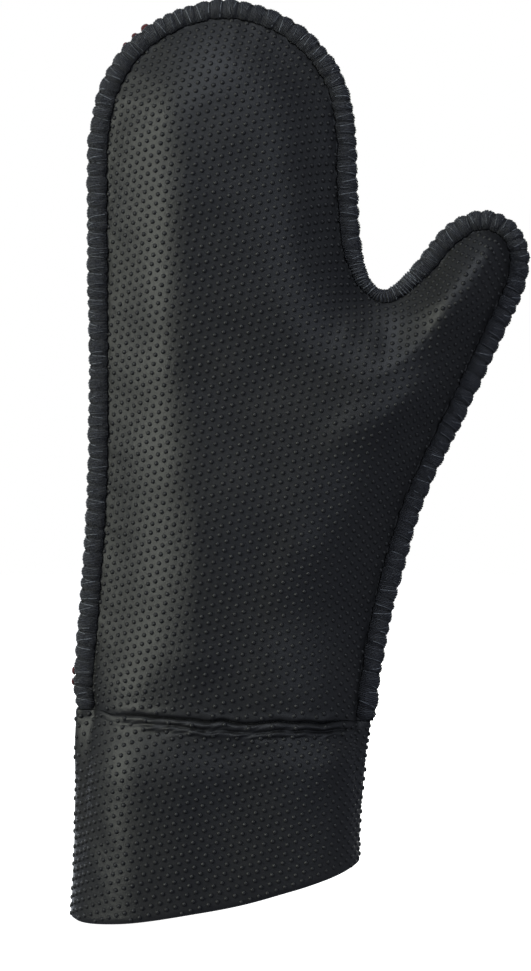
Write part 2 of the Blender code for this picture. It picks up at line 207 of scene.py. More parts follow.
def read_at(places, run, table):
    """Each column of a table that goes with a run, read at the given places of the run."""
    return stack(*(np.interp(places, run, column) for column in table.T))


def along(line, places):
    """Points at the given distances along a line."""
    return read_at(places, run_of(line), line)


def resample(line, step):
    """The line again, in even steps of about the given length."""
    length = run_of(line)[-1]
    return along(line, np.linspace(0.0, length, max(2, round(length / step) + 1)))


def dense_curve(points, steps=12):
    """A Catmull-Rom curve through the points."""
    points = [np.array(p) for p in points]
    ends = [2 * points[0] - points[1]] + points + [2 * points[-1] - points[-2]]
    curve = []
    for a, b, c, d in zip(ends, ends[1:], ends[2:], ends[3:]):
        for step in range(steps):
            t = step / steps
            square = (2 * a - 5 * b + 4 * c - d) * t**2
            cube = (3 * b - a - 3 * c + d) * t**3
            curve.append((2 * b + (c - a) * t + square + cube) / 2)
    curve.append(points[-1])
    return np.array(curve)


def inward_normals(line):
    direction = unit(np.gradient(line, axis=0))
    return stack(direction[:, 1], -direction[:, 0])


def from_crotch(points):
    return np.linalg.norm(points - np.array(CROTCH), axis=-1)


def edge_width(points):
    near = from_crotch(points) / EDGE_FULL_WIDTH_BEYOND
    return EDGE_WIDTH_AT_CROTCH + (EDGE_WIDTH - EDGE_WIDTH_AT_CROTCH) * smooth(near)


def edge_line(step):
    """The mitt's outer edge, from the crease at the cuff over the fingertips and back to the crease."""
    turn = np.linspace(0.0, math.pi, 9)
    flatter = between(SHOULDER_TURN[:2], turn) * (1.0 - between(SHOULDER_TURN[2:], turn))
    radius = FINGERTIP_RADIUS - SHOULDER * flatter
    arch = FINGERTIP_CENTRE + stack(-radius * np.cos(turn), radius * np.sin(turn))
    curve = dense_curve([*LITTLE_FINGER_SIDE, *arch, *THUMB_SIDE])
    return resample(np.vstack([[curve[0][0], EDGE_BOTTOM], curve, [curve[-1][0], EDGE_BOTTOM]]), step)


EDGE = edge_line(1.0)
EDGE_NORMALS = inward_normals(EDGE)
SEAM = EDGE + EDGE_NORMALS * edge_width(EDGE)[:, None]
THUMB_START, THUMB_END = (np.array(point) for point in THUMB_LINE)
THUMB_ALONG = unit(THUMB_END - THUMB_START)
THUMB_NORMAL = np.array([-THUMB_ALONG[1], THUMB_ALONG[0]])


def distance_to(line, points):
    """For each point: its distance to a line, the direction away from it, and the place along it."""
    start, step = line[:-1], np.diff(line, axis=0)
    run = run_of(line)
    size, away, place = np.empty(len(points)), np.empty((len(points), 2)), np.empty(len(points))
    block = 2000
    for low in range(0, len(points), block):
        some = slice(low, min(low + block, len(points)))
        offset = points[some, None, :] - start[None]
        t = np.clip((offset * step).sum(2) / (step * step).sum(1), 0.0, 1.0)
        gap = offset - t[..., None] * step
        span = np.linalg.norm(gap, axis=2)
        nearest = span.argmin(1)
        rows = np.arange(len(nearest))
        size[some] = span[rows, nearest]
        away[some] = gap[rows, nearest]
        place[some] = run[nearest] + t[rows, nearest] * np.linalg.norm(step, axis=1)[nearest]
    return size, unit(away), place


def inside(loop, points):
    """Which of the points lie inside a closed loop."""
    (ax, az), (bx, bz) = loop.T, np.roll(loop, -1, axis=0).T
    x, z = points[:, :1], points[:, 1:]
    rising = np.where(bz == az, 1e-9, bz - az)
    left_of = x < ax + (z - az) / rising * (bx - ax)
    return (((az > z) != (bz > z)) & left_of).sum(1) % 2 == 1


SEAM_COARSE = resample(SEAM, 2.0)
LOOP_BOTTOM = -20.0  # below the hem, so that the loop holds the cuff too
SEAM_LOOP = np.vstack([SEAM_COARSE, [SEAM[-1, 0], LOOP_BOTTOM], [SEAM[0, 0], LOOP_BOTTOM]])


def filled_form(points):
    """How far the outer face rises above its flange, over what width, and how fully at the sides."""
    z = points[:, 1]
    low = smooth((GAUNTLET_FORM_BELOW - z) / (GAUNTLET_FORM_BELOW - JOIN_Z))
    high = between(FINGERTIP_FORM, z)
    height = HAND_HEIGHT + (GAUNTLET_HEIGHT - HAND_HEIGHT) * low + (FINGERTIP_HEIGHT - HAND_HEIGHT) * high
    width = HAND_ROUND + (GAUNTLET_ROUND - HAND_ROUND) * low
    thumb = between(THUMB_FORM, (points - THUMB_START) @ THUMB_NORMAL) * between(THUMB_FORM_X, points[:, 0])
    height = height + (THUMB_HEIGHT - height) * thumb
    width = width + (THUMB_ROUND - width) * thumb
    full = 1.0 + (FULLNESS_AT_CUFF - 1.0) * smooth((FULL_BELOW - z) / (FULL_BELOW - JOIN_Z))
    return height, width, full


def side_profile(reach, full):
    """The rise from the seam, 0 to 1: part rounded, part an even slope that turns quickly level."""
    slope = np.maximum(SLOPE_STEEPNESS * reach, 1e-6)
    level = 1.0 / (slope**-SLOPE_TURN + 1.0) ** (1 / SLOPE_TURN)
    most = 1.0 / (SLOPE_STEEPNESS**-SLOPE_TURN + 1.0) ** (1 / SLOPE_TURN)
    rounded = np.sin(reach * math.pi / 2)
    return (rounded + SLOPE_SHARE * (level / most - rounded)) ** full


# ---------------------------------------------------------------- folds and puckers

# Soft folds: (points that the fold runs through, height, half width); a negative height is a valley
PALM_FOLDS = [
    ([(107, 231), (92, 216.5), (76, 205.5), (60, 197), (45, 191)], 5.4, 8.5),
    ([(98, 270), (98, 255), (97, 240), (92, 225)], 2.4, 7.0),
    ([(5, 186), (6, 160), (3, 130), (-6, 104)], 2.7, 14.0),
    ([(36, 182), (35, 150), (32, 108)], 2.2, 11.0),
    ([(77, 248), (77, 236), (70, 223)], -3.3, 6.5),
    ([(66, 249), (58, 240), (52, 228)], 1.3, 4.0),
    ([(112, 272), (105, 262), (100, 250), (98, 240)], 3.6, 7.5),
    ([(119, 260), (113, 247), (107, 234)], -1.0, 5.0),
    ([(62, 262), (50, 256), (38, 254)], 0.9, 4.0),
    ([(-30, 96), (-5, 101), (25, 97)], 0.9, 7.0),
    ([(18, 330), (22, 280), (24, 240)], -1.0, 9.0),
    ([(-22, 266), (-20, 235), (-19, 210)], 1.2, 10.0),
    ([(2, 345), (0, 315), (-4, 288)], 1.1, 15.0),
]
BACK_FOLDS = [
    ([(81, 254), (84, 236), (76, 218), (58, 206)], 2.4, 5.5),
    ([(74.5, 247), (72, 238), (67, 226)], -2.2, 4.5),
    ([(-34, 190), (0, 184), (40, 190)], -1.3, 7.0),
    ([(-20, 104), (8, 98), (34, 103)], 0.9, 7.0),
]
FOLDS = {"palm": PALM_FOLDS, "back": BACK_FOLDS}
BROAD_WAVES = (1.5, 46.0)  # height and size of the cloth's slow unevenness
SMALL_WAVES = (0.38, 15.0)
FOLDS_GROW = 11.0  # distance from the seam over which the folds rise to their full height
CREASE_GROWS = 6.0  # the same for the relief beside the crease
PUCKER_HEIGHT = 0.55
PUCKER_SIZE = 3.6
PUCKER_REACH = 4.0
SEEDS = {"palm": 11, "back": 47}
SIGN = {"palm": -1.0, "back": 1.0}
# The cuff's rolled edge from the crease down, two rolls and two grooves: share (below 0 for a groove),
# middle, half width, whether it wanders up and down, height, the height's change along x, its size and seed
ROLLS = (
    (0.9, 1.8, 0.95, 0, 0.95, 0.75, 5.0, 8),
    (-1.1, 3.6, 0.5, 1, 0.8, 0.6, 6.0, 12),
    (0.85, 5.0, 0.9, 1, 0.8, 1.1, 4.0, 10),
    (-0.5, 6.8, 0.7, 1, 0.6, 0.8, 5.0, 13),
)


def crease_wave(x, side):
    """How far the stitched crease wanders up and down, mm."""
    return 0.8 * wave(x, 17.0, SEEDS[side] + 3) + 0.75 * wave(x, 6.0, SEEDS[side] + 4)


def near_crease(away):
    """The crease's wander fades out between 3 and 12 mm from it."""
    return smooth((12.0 - away) / 9.0)


def roll_strength(x):
    """The rolled edges at the crease stand out most over the middle and flatten towards the sides."""
    return 0.2 + 0.8 * between((-44.0, -24.0), x) * (1.0 - between((50.0, 62.0), x))


def crease_tilt(x, away):
    """The crease's height at x, measured from the middle's; it fades with the distance from it."""
    return CREASE_TILT * x * (1.0 - between((3.0, CREASE_TILT_FADE), away))


def turned_edge(away, x):
    """A sheet's edge turns in at the crease, and less so towards the sides."""
    return -(0.4 + 0.8 * roll_strength(x)) * smooth((0.8 - away) / 0.8)


def crease_knots(away, x, height, lean, size, fade, seed):
    """Small lumps that the stitches pull up in a sheet beside the crease."""
    lumps = noise(stack(x + lean * away, 1.6 * away), size, seed)
    return height * lumps * between((0.3, 1.6), away) * (1.0 - between(fade, away))


def rolls_under_crease(below, x, side):
    """The two rolled folds of the cuff's top edge, as a height against the distance below the crease."""
    seed = SEEDS[side]
    wander = 0.7 * wave(x, 8.0, seed + 9)
    out = 0.0
    for share, middle, half, wanders, height, change, size, own_seed in ROLLS:
        height = height + change * wave(x, size, seed + own_seed)
        out = out + share * (height * bell(below - middle - wanders * wander, half))
    knots = crease_knots(below, x, height=0.65, lean=1.5, size=2.4, fade=(5.5, 8.5), seed=seed + 14)
    return roll_strength(x) * (out + knots)


def relief(points, depth, place, side):
    """How far folds and puckers lift the sheet outwards, and how far they carry it up the mitt."""
    x, z = points.T
    seed = SEEDS[side]
    out = BROAD_WAVES[0] * noise(points, BROAD_WAVES[1], seed)
    out += SMALL_WAVES[0] * noise(points, SMALL_WAVES[1], seed + 1)
    for line, height, half in FOLDS[side]:
        line = resample(dense_curve(line, 4), 3.0)
        off, _, at = distance_to(line, points)
        length = run_of(line)[-1]
        ends = smooth(1.25 * at / length + 0.15) * smooth(1.25 * (1.0 - at / length) + 0.15)
        out += height * ends * bell(off, half)
    out *= smooth(depth / FOLDS_GROW)
    reach = np.clip(depth, 0.0, None) / PUCKER_REACH
    out += wave(place, PUCKER_SIZE, seed + 2) * PUCKER_HEIGHT * reach * np.exp(1.0 - reach)
    above = z - CREASE_Z
    near = smooth(depth / CREASE_GROWS)
    knots = crease_knots(above, x, height=0.4, lean=-1.2, size=2.6, fade=(4.0, 7.0), seed=seed + 15)
    shrug = roll_strength(x) * (0.5 * bell(above - 2.2, 1.4) + knots)
    out = out * smooth((above - 1.0) / 12.0) + near * (turned_edge(above, x) + shrug)
    return out, crease_wave(x, side) * near_crease(above) * near + crease_tilt(x, above)


# ---------------------------------------------------------------- meshes

def crossed(points, triangles):
    """Each triangle's normal, as long as twice its area."""
    a, b, c = np.moveaxis(points[triangles], 1, 0)
    return np.cross(b - a, c - a)


def vertex_normals(points, triangles):
    face = crossed(points, triangles)
    total = np.zeros_like(points)
    for k in range(3):
        np.add.at(total, triangles[:, k], face)
    return unit(total)


def face_normals(points, triangles):
    """Each corner's normal where the triangles are flat."""
    return np.repeat(unit(crossed(points, triangles))[:, None, :], 3, axis=1)


def surface_area(points, triangles):
    """Square metres of triangles whose points are in millimetres."""
    return float(np.linalg.norm(crossed(points * MM, triangles), axis=1).sum() / 2)


class Piece:
    """A mesh gathered from blocks of points and triangles, each corner with its own normal."""

    def __init__(self, name):
        self.name = name
        self.points, self.triangles, self.normals, self.surfaces, self.values = [], [], [], [], []
        self.count = 0

    def add(self, points, triangles, corner_normals=None, surface=0, values=None):
        """values holds three numbers for each point, for the material to read."""
        triangles = np.asarray(triangles).reshape(-1, 3)
        if corner_normals is None:
            corner_normals = face_normals(points, triangles)
        self.points.append(points)
        self.triangles.append(triangles + self.count)
        self.normals.append(corner_normals)
        self.surfaces.append(np.full(len(triangles), surface))
        self.values.append(np.zeros((len(points), 3)) if values is None else values)
        self.count += len(points)

    def add_smooth(self, points, triangles, values=None):
        """A block that is shaded as one smooth surface."""
        self.add(points, triangles, vertex_normals(points, triangles)[triangles], 0, values)

    def make(self, *materials):
        points = np.vstack(self.points) * MM
        triangles = np.vstack(self.triangles)
        mesh = bpy.data.meshes.new(self.name)
        mesh.from_pydata(points.tolist(), [], triangles.tolist())
        mesh.polygons.foreach_set("material_index", np.concatenate(self.surfaces).astype(np.int32))
        mesh.shade_smooth()
        for name, data in (("rest", points), ("detail", np.vstack(self.values))):
            layer = mesh.attributes.new(name, "FLOAT_VECTOR", "POINT")
            layer.data.foreach_set("vector", data.astype(np.float32).ravel())
        mesh.normals_split_custom_set(np.concatenate(self.normals).reshape(-1, 3).tolist())
        for material in materials:
            mesh.materials.append(material)
        made = bpy.data.objects.new(self.name, mesh)
        bpy.context.scene.collection.objects.link(made)
        return made


def ring_triangles(rings, columns):
    """Triangles over a stack of rings that have the same number of points."""
    i, j = np.meshgrid(np.arange(rings - 1), np.arange(columns), indexing="ij")
    a, b = i * columns + j, i * columns + (j + 1) % columns
    c, d = a + columns, b + columns
    return np.concatenate([stack(a, c, b).reshape(-1, 3), stack(b, c, d).reshape(-1, 3)])


def capped_triangles(rings, columns):
    """The same, with the first and the last ring filled in."""
    fan = np.array([(0, k, k + 1) for k in range(1, columns - 1)])
    return np.concatenate([ring_triangles(rings, columns), fan, fan[:, ::-1] + (rings - 1) * columns])


def spokes(first, second, count):
    """For each pair of directions, directions evenly round in their plane."""
    turns = (np.arange(count) * 2 * math.pi / count)[:, None]
    return first[:, None] * np.cos(turns) + second[:, None] * np.sin(turns)


def rim_triangles(triangles, shift):
    """Triangles that join a sheet's outer rim to its inner one, whose points come shift places later."""
    edges = np.concatenate([triangles[:, [0, 1]], triangles[:, [1, 2]], triangles[:, [2, 0]]])
    keys = {(a, b) for a, b in edges.tolist()}
    rim = np.array(sorted(pair for pair in keys if pair[::-1] not in keys))
    a, b = rim.T
    return np.concatenate([stack(b, a, a + shift), stack(b, a + shift, b + shift)])


# ---------------------------------------------------------------- the two sides of the mitt

class Pattern:
    """The flat pattern of a side at one fineness: points, triangles, and where each lies from the seam."""

    def __init__(self, grid, rows, with_flange):
        step = min(grid, 3.0) * 0.7
        edge = resample(EDGE, step)
        normals = inward_normals(edge)
        seam = edge + normals * edge_width(edge)[:, None]
        outer = edge + normals * THREAD_OUTSIDE_FLANGE if with_flange else seam
        chains = [outer, seam] if with_flange else [seam]
        left, right = outer[0, 0], outer[-1, 0]
        for ends in (
            ((left, EDGE_BOTTOM), (right, EDGE_BOTTOM)),
            ((PATTERN_LEFT, SPLIT_Z), (PATTERN_RIGHT, SPLIT_Z)),
            ((SPLIT_X, SPLIT_Z), (SPLIT_X, CROTCH[1] + 5.0)),
        ):
            chains.append(resample(np.array(ends), grid * 0.9))

        points = list(np.vstack(chains))
        lines, first = [], 0
        for chain in chains:
            lines += [(i, i + 1) for i in range(first, first + len(chain) - 1)]
            first += len(chain)
        seam_normals = inward_normals(seam)
        for row in rows:
            line = resample(seam + seam_normals * row, max(step, min(grid, row * 0.6 + 1.0)))
            points += list(self.clear(line, seam, row * 0.9, grid * 0.3))
        for above in JOIN_ROWS:
            ends = [(left, EDGE_BOTTOM + above), (right, EDGE_BOTTOM + above)]
            line = resample(np.array(ends), grid * 0.8)
            kept = inside(SEAM_LOOP, line) & (distance_to(seam, line)[0] > rows[-1] + grid * 0.3)
            points += list(line[kept])
        x = np.arange(-60.0, PATTERN_RIGHT, grid)
        z = np.arange(EDGE_BOTTOM + JOIN_ROWS[-1] + grid * 0.7, PATTERN_TOP, grid * EVEN_ROW)
        across, up = np.meshgrid(x, z)
        across[::2] += grid / 2
        inner = stack(across, up).reshape(-1, 2)
        inner = inner[inside(SEAM_LOOP, inner)]
        points += list(self.clear(inner, seam, rows[-1] + grid * 0.5, grid * 0.45))

        found = delaunay_2d_cdt([Vector(p) for p in points], lines, [], 0, 1e-3)
        self.points = np.array([tuple(p) for p in found[0]])
        triangles = np.array([tuple(face) for face in found[2]])
        self.triangles = triangles[inside(outer, self.points[triangles].mean(1))]
        self.middle = self.points[self.triangles].mean(1)
        self.seam_place = seam_place(self.points)

    @staticmethod
    def clear(points, seam, from_seam, from_split):
        """The points that keep clear of the seam, the bottom edge and the lines between panels."""
        x, z = points.T
        kept = distance_to(seam, points)[0] > from_seam
        kept &= np.abs(z - SPLIT_Z) > from_split
        kept &= (np.abs(x - SPLIT_X) > from_split) | (z < SPLIT_Z)
        kept &= z > EDGE_BOTTOM + from_split
        return points[kept]


def in_panel(name, points):
    """Which of the points belong to a panel."""
    x, z = points.T
    above = z > SPLIT_Z
    return {"lower": ~above, "fingers": above & (x < SPLIT_X), "thumb": above & (x >= SPLIT_X)}[name]


def seam_place(points):
    """Depth inwards from the seam (negative in the flange), the way inwards, place along the seam."""
    depth, away, place = distance_to(SEAM_COARSE, points)
    within = inside(SEAM_LOOP, points)
    on_seam = depth < 0.05
    depth = np.where(within | on_seam, depth, -depth)
    away = np.where(within[:, None], away, -away)
    if on_seam.any():
        normals = inward_normals(SEAM_COARSE)
        away[on_seam] = unit(read_at(place[on_seam], run_of(SEAM_COARSE), normals))
    return depth, away, place


def sheet_face(points, depth, away, place, side, face):
    """Points in space of one face of a sheet, which leaves the seam at depth start and height base."""
    start, base, lost = face
    height, width, full = filled_form(points)
    shift = np.where(depth >= 0.0, start * np.clip(1.0 - depth / SHIFT_FADE, 0.0, 1.0), 0.0)
    reach = np.clip((depth + shift - start) / (width - start), 0.0, 1.0)
    y = base + (height - lost) * side_profile(reach, full)
    out, up = relief(points, depth, place, side)
    flat = points + away * shift[:, None]
    return stack(flat[:, 0], SIGN[side] * (y + out), flat[:, 1] + up)


OUTER_FACE = (0.0, FLANGE, 0.0)
FELT_START = SHELL + GAP
LINING_START = FELT_START + FELT + GAP
LAYERS = {
    "shell": (OUTER_FACE, (SHELL, MIDPLANE_GAP, 0.0)),
    "insulation": tuple((d, MIDPLANE_GAP, d - SHELL) for d in (FELT_START, FELT_START + FELT)),
    "lining": tuple((d, MIDPLANE_GAP, d - SHELL) for d in (LINING_START, LINING_START + LINING)),
}
PANEL_NODES = {"lower": ("gauntlet", "hand"), "fingers": ("fingers",), "thumb": ("thumb",)}


def outer_face(points, side):
    return sheet_face(points, *seam_place(points), side, OUTER_FACE)


# ---------------------------------------------------------------- dots

DOT_SIDES = 8
DOT_RINGS = ((1.0, -0.2, 1.0, 0.3), (0.78, 0.46, 0.8, 0.6))  # radius, height, and the normal's two parts
DOT_TOP = 0.7
DOT_RING_VALUES = ((0.0, 1.0), (0.6, 0.35))  # for the two rings: how much painted highlight (lighter towards the top), and how much painted shade (darker deep in the dot's foot)
DOT_ROW_FROM = 200.0  # the height at which the unrolled sheet is laid against the pattern
UNROLLED_X, UNROLLED_Z, UNROLL_STEP = (-70.0, 145.0), (70.0, 392.0), 1.5  # the grid it is measured on
LATTICE = ((-120.0, -190.0), (190.0, 230.0))  # two corners of the unrolled sheet
LATTICE_TRIES = 60
LATTICE_MISS = 1.2  # a dot still further than this from its place has none on the mitt
SHEET_STRETCH = 1.6  # the slope at which the sheet starts to stretch, where it turns down to the seam


def add_dots(piece, centres, normals, first):
    """Small closed domes at the centres, whose values say how high on the dot a point is; from them the
    rubber paints a highlight on the top and shade round the foot.
    """
    radial = spokes(first, np.cross(normals, first), DOT_SIDES)
    rings, ring_normals = [], []
    for radius, rise, out, up in DOT_RINGS:
        rings.append(centres[:, None] + radial * radius * DOT_RADIUS + normals[:, None] * rise)
        ring_normals.append(unit(radial * out + normals[:, None] * up))
    top = centres + normals * DOT_TOP
    count = 2 * DOT_SIDES + 1
    points = np.concatenate([*rings, top[:, None]], axis=1)
    normal = np.concatenate([*ring_normals, normals[:, None]], axis=1)
    faces = []
    for k in range(DOT_SIDES):
        after = (k + 1) % DOT_SIDES
        faces += [(k, after, DOT_SIDES + k), (after, DOT_SIDES + after, DOT_SIDES + k)]
        faces.append((DOT_SIDES + k, DOT_SIDES + after, 2 * DOT_SIDES))
    base = [(0, k + 1, k) for k in range(1, DOT_SIDES - 1)]
    corner = normal[:, np.array(faces)]
    under = np.broadcast_to(-normals[:, None, None, :], (len(centres), len(base), 3, 3))
    corner = np.concatenate([corner, under], axis=1)
    triangles = np.array(faces + base)[None] + (np.arange(len(centres)) * count)[:, None, None]
    # Values for the painted highlight on each dot's top and the painted shade at its foot
    values = np.zeros((len(centres), count, 3))
    for ring, pair in enumerate(DOT_RING_VALUES):
        values[:, ring * DOT_SIDES : (ring + 1) * DOT_SIDES, :2] = pair
    values[:, -1, 0] = 1.0
    piece.add(points.reshape(-1, 3), triangles, corner.reshape(-1, 3, 3), 0, values.reshape(-1, 3))


def lattice(low, high):
    """Dot centres on the unrolled sheet, in a triangular pattern that fills a rectangle."""
    reach = int(math.hypot(high[0] - low[0], high[1] - low[1]) / DOT_PITCH) + 2
    i, j = (grid.ravel() for grid in np.meshgrid(np.arange(-reach, reach), np.arange(-reach, reach)))
    centre = (np.array(low) + np.array(high)) / 2
    steps = [np.array([math.cos(turn), math.sin(turn)]) for turn in (DOT_TURN, DOT_TURN + math.pi / 3)]
    points = centre + (i[:, None] * steps[0] + j[:, None] * steps[1]) * DOT_PITCH
    kept = np.all((points >= low) & (points <= high), axis=1)
    return points[kept]


def side_dots(side):
    """Where the dots sit on one side, spaced evenly over its curved face rather than over its pattern."""
    step = UNROLL_STEP
    x, z = np.arange(*UNROLLED_X, step), np.arange(*UNROLLED_Z, step)
    grid = stack(*np.meshgrid(x, z, indexing="ij"))
    y = outer_face(grid.reshape(-1, 2), side)[:, 1].reshape(len(x), len(z))
    length_x, length_z = (
        np.sqrt(1.0 + np.clip(np.abs(slope), 0.0, SHEET_STRETCH) ** 2) for slope in np.gradient(y, step)
    )
    u = np.cumsum(length_x, axis=0) * step
    v = np.cumsum(length_z, axis=1) * step
    u -= u[np.searchsorted(x, 0.0)][None, :]
    v -= v[:, np.searchsorted(z, DOT_ROW_FROM)][:, None]

    def look_up(table, points):
        place = (points - (x[0], z[0])) / step
        cell = np.clip(np.floor(place).astype(int), 0, np.array(table.shape) - 2)
        return between_cells(table, cell.T, cell.T + 1, np.clip(place - cell, 0.0, 1.0).T)

    wanted = lattice(*LATTICE)
    points = wanted + (0.0, DOT_ROW_FROM)
    for _ in range(LATTICE_TRIES):
        miss = wanted - stack(look_up(u, points), look_up(v, points))
        steepness = stack(look_up(length_x, points), look_up(length_z, points))
        points = points + 0.5 * miss / steepness
    points = points[(np.abs(miss).max(1) < LATTICE_MISS) & inside(SEAM_LOOP, points)]
    clear = distance_to(SEAM_COARSE, points)[0] > DOT_CLEAR
    return points[clear & (points[:, 1] > CREASE_Z + DOTS_ABOVE_CREASE)]


def dot_frames(points, side):
    """Centre, outward normal and one tangent of the outer face at each point."""
    step = 0.25
    centre = outer_face(points, side)
    across = outer_face(points + (step, 0.0), side) - outer_face(points - (step, 0.0), side)
    up = outer_face(points + (0.0, step), side) - outer_face(points - (0.0, step), side)
    return centre, -SIGN[side] * unit(np.cross(across, up)), unit(across)


# ---------------------------------------------------------------- the panels

FINE = Pattern(SHELL_GRID, SHELL_ROWS, True)
COARSE = Pattern(INNER_GRID, INNER_ROWS, False)


def sheet_points(pattern, side, layer):
    """The outer and inner face of one layer over the whole side, with their normals."""
    result = []
    for face in LAYERS[layer]:
        points = sheet_face(pattern.points, *pattern.seam_place, side, face)
        order = pattern.triangles if side == "palm" else pattern.triangles[:, ::-1]
        result.append((points, vertex_normals(points, order)))
    return result


def add_panel(name, pattern, faces, side, panel, materials, dots=None):
    """One panel of one layer: its two faces, the rim between them, and its share of the dots."""
    chosen = pattern.triangles[in_panel(panel, pattern.middle)]
    used, local = np.unique(chosen, return_inverse=True)
    local = local.reshape(-1, 3)
    if side == "back":
        local = local[:, ::-1]
    count = len(used)
    (outer, outer_normals), (inner, inner_normals) = faces
    both = np.vstack([outer[used], inner[used]])
    under, rim = local[:, ::-1], rim_triangles(local, count)
    corners = [outer_normals[used][local], -inner_normals[used][under], face_normals(both, rim)]
    piece = Piece(name)
    piece.add(both, np.concatenate([local, under + count, rim]), np.concatenate(corners))
    if dots is not None:
        mine = in_panel(panel, dots[0])
        add_dots(piece, *(part[mine] for part in dots[1:]))
    return piece.make(*materials)


# ---------------------------------------------------------------- the wrapped yarn round the edge

SLOT = FLANGE + GAP
WRAP_HEIGHT = SLOT + THREAD
WRAP_POWER = 2.5
WRAP_MOUTH = math.asin((SLOT / WRAP_HEIGHT) ** (WRAP_POWER / 2))  # turn at which the slot cuts the wrap
MOUTH_REACH = math.cos(WRAP_MOUTH) ** (2 / WRAP_POWER)
WRAP_OVERHANG = 0.15  # the wrap presses into the sheet just inside the seam
WRAP_STEP = 0.42
WRAP_TURNS = 22
LOBE = (4.6, 7.4)  # least and most length of a bunch of wraps along the edge
LOBE_HEIGHT = 1.3
INNER_KNOTS = 0.4
STRAND = 1.15  # width of one wrap
STRAND_HEIGHT = 0.4
LIGHT_STRAND_RADIUS = 0.19
CROTCH_STRANDS, CROTCH_STRAND_STEP = 15.0, 1.3  # reach and spacing of the lighter yarns in the crotch
CROTCH_YARN = (6.0, 32.0)  # how far from the crotch its finer, unbunched wraps turn into bunches
WRAP_END_ROUND, WRAP_END_DROP = 3.0, 1.4  # how far from its end, and how deep, the yarn rounds down

EDGE_RUN = run_of(EDGE)
EDGE_LENGTH = EDGE_RUN[-1]
EDGE_WIDTHS = edge_width(EDGE)


def lobe_stops():
    """Where one bunch of wraps ends and the next begins, along the edge."""
    random = np.random.RandomState(5)
    stops = [0.0]
    while stops[-1] < EDGE_LENGTH:
        stops.append(stops[-1] + random.uniform(*LOBE))
    return np.array(stops)


LOBE_STOPS = lobe_stops()


def edge_data(run):
    """The edge's position, inward direction and width at places along it."""
    position = read_at(run, EDGE_RUN, EDGE)
    return position, unit(read_at(run, EDGE_RUN, EDGE_NORMALS)), np.interp(run, EDGE_RUN, EDGE_WIDTHS)


def wrap_relief(run, turn, outer, crotch):
    """How far the wraps stand out, the place along their slant, and the bunch's height there (0 to 1),
    which also falls towards the seam; where it is low the yarn material is darker, as painted shade in the
    dips between bunches.

    outer goes from 0 at the seam to 1 at the outer edge, and crotch is 1 where the yarn is finer.
    """
    slant = run + 1.5 * (turn - math.pi) / math.pi + 0.5 * wave(run + 3.0 * turn, 4.0, 71)
    lobe = np.abs(np.sin(math.pi * np.interp(slant, LOBE_STOPS, np.arange(len(LOBE_STOPS))))) ** 0.6
    strength = (1.0 - 0.75 * crotch) * (0.35 + 0.65 * outer**0.8)
    strand = np.abs(np.sin(math.pi * (slant + 0.3 * wave(run, 2.0, 72)) / STRAND)) ** 0.8
    plane = stack(run, 4.0 * turn)
    knots = INNER_KNOTS * noise(plane, 1.9, 76) * (1.0 - between((0.3, 0.6), outer))
    rise = LOBE_HEIGHT * strength * (lobe - 0.75) + STRAND_HEIGHT * (1.0 + crotch) * (strand - 0.6)
    rise = rise + 0.4 * wave(run, 9.0, 73) * strength + 0.16 * noise(plane, 0.9, 74) + knots
    return rise, slant, lobe * between((0.3, 0.55), outer)


def wrap_surface(run, turn, lift=0.0):
    """A point of the wrapped yarn's outside, the place along the wraps' slant, and the bunch's height.

    turn goes round the yarn, 0 at the seam and pi at the outer edge.
    """
    position, normal, width = edge_data(run)
    crotch = 1.0 - between(CROTCH_YARN, from_crotch(position))
    across, out = np.cos(turn), np.sin(turn)
    rise, slant, bunch = wrap_relief(run, turn, (1.0 - across) / 2, crotch)
    from_end = np.minimum(run, EDGE_LENGTH - run)
    rise = rise + lift - WRAP_END_DROP * smooth(1.0 - from_end / WRAP_END_ROUND)
    ragged = (0.22 + 0.4 * crotch) * wave(run, 1.7, 75)
    half = (width + WRAP_OVERHANG + ragged) / (1.0 + MOUTH_REACH)
    place = half + half * np.sign(across) * np.abs(across) ** (2 / WRAP_POWER)
    y = WRAP_HEIGHT * np.sign(out) * np.abs(out) ** (2 / WRAP_POWER)
    outward = unit(stack(across / half, out / WRAP_HEIGHT))
    place = place + outward[..., 0] * rise
    y = y + outward[..., 1] * rise
    flat = position + normal * place[..., None]
    z = flat[..., 1] + crease_tilt(flat[..., 0], flat[..., 1] - CREASE_Z)
    return stack(flat[..., 0], y, z), slant, bunch


def wrap_rings():
    """Rings of points along the whole edge: the outside of the wrap and the slot that holds the flange."""
    run = np.linspace(0.0, EDGE_LENGTH, round(EDGE_LENGTH / WRAP_STEP) + 1)
    turn = np.linspace(2 * math.pi - WRAP_MOUTH, WRAP_MOUTH, WRAP_TURNS + 1)
    runs, turns = np.meshgrid(run, turn, indexing="ij")
    outside, slant, bunch = wrap_surface(runs, turns)
    position, normal, _ = edge_data(run)
    slot = position + normal * (THREAD_OUTSIDE_FLANGE - GAP)
    slot_z = slot[:, 1] + crease_tilt(slot[:, 0], slot[:, 1] - CREASE_Z)
    inner = [stack(slot[:, 0], np.full(len(run), y), slot_z) for y in (SLOT, -SLOT)]
    rings = np.concatenate([outside, inner[0][:, None], inner[1][:, None]], axis=1)
    detail = np.zeros_like(rings)
    detail[:, : WRAP_TURNS + 1, 0] = slant
    detail[:, : WRAP_TURNS + 1, 1] = turns * EDGE_WIDTH / 2
    # The yarn material darkens where this is low: painted shade in the dips between bunches, and darker
    # towards the seam
    detail[:, : WRAP_TURNS + 1, 2] = bunch
    return run, rings, detail


def tube(line, radius, sides):
    """A closed thin tube along a line of points: its points, triangles and corner normals."""
    direction = unit(np.gradient(line, axis=0))
    first = unit(np.cross(direction, direction[:, [1, 2, 0]] + 0.1))
    radial = spokes(first, np.cross(direction, first), sides)
    triangles = capped_triangles(len(line), sides)[:, ::-1]
    return (line[:, None] + radial * radius).reshape(-1, 3), triangles, radial.reshape(-1, 3)[triangles]


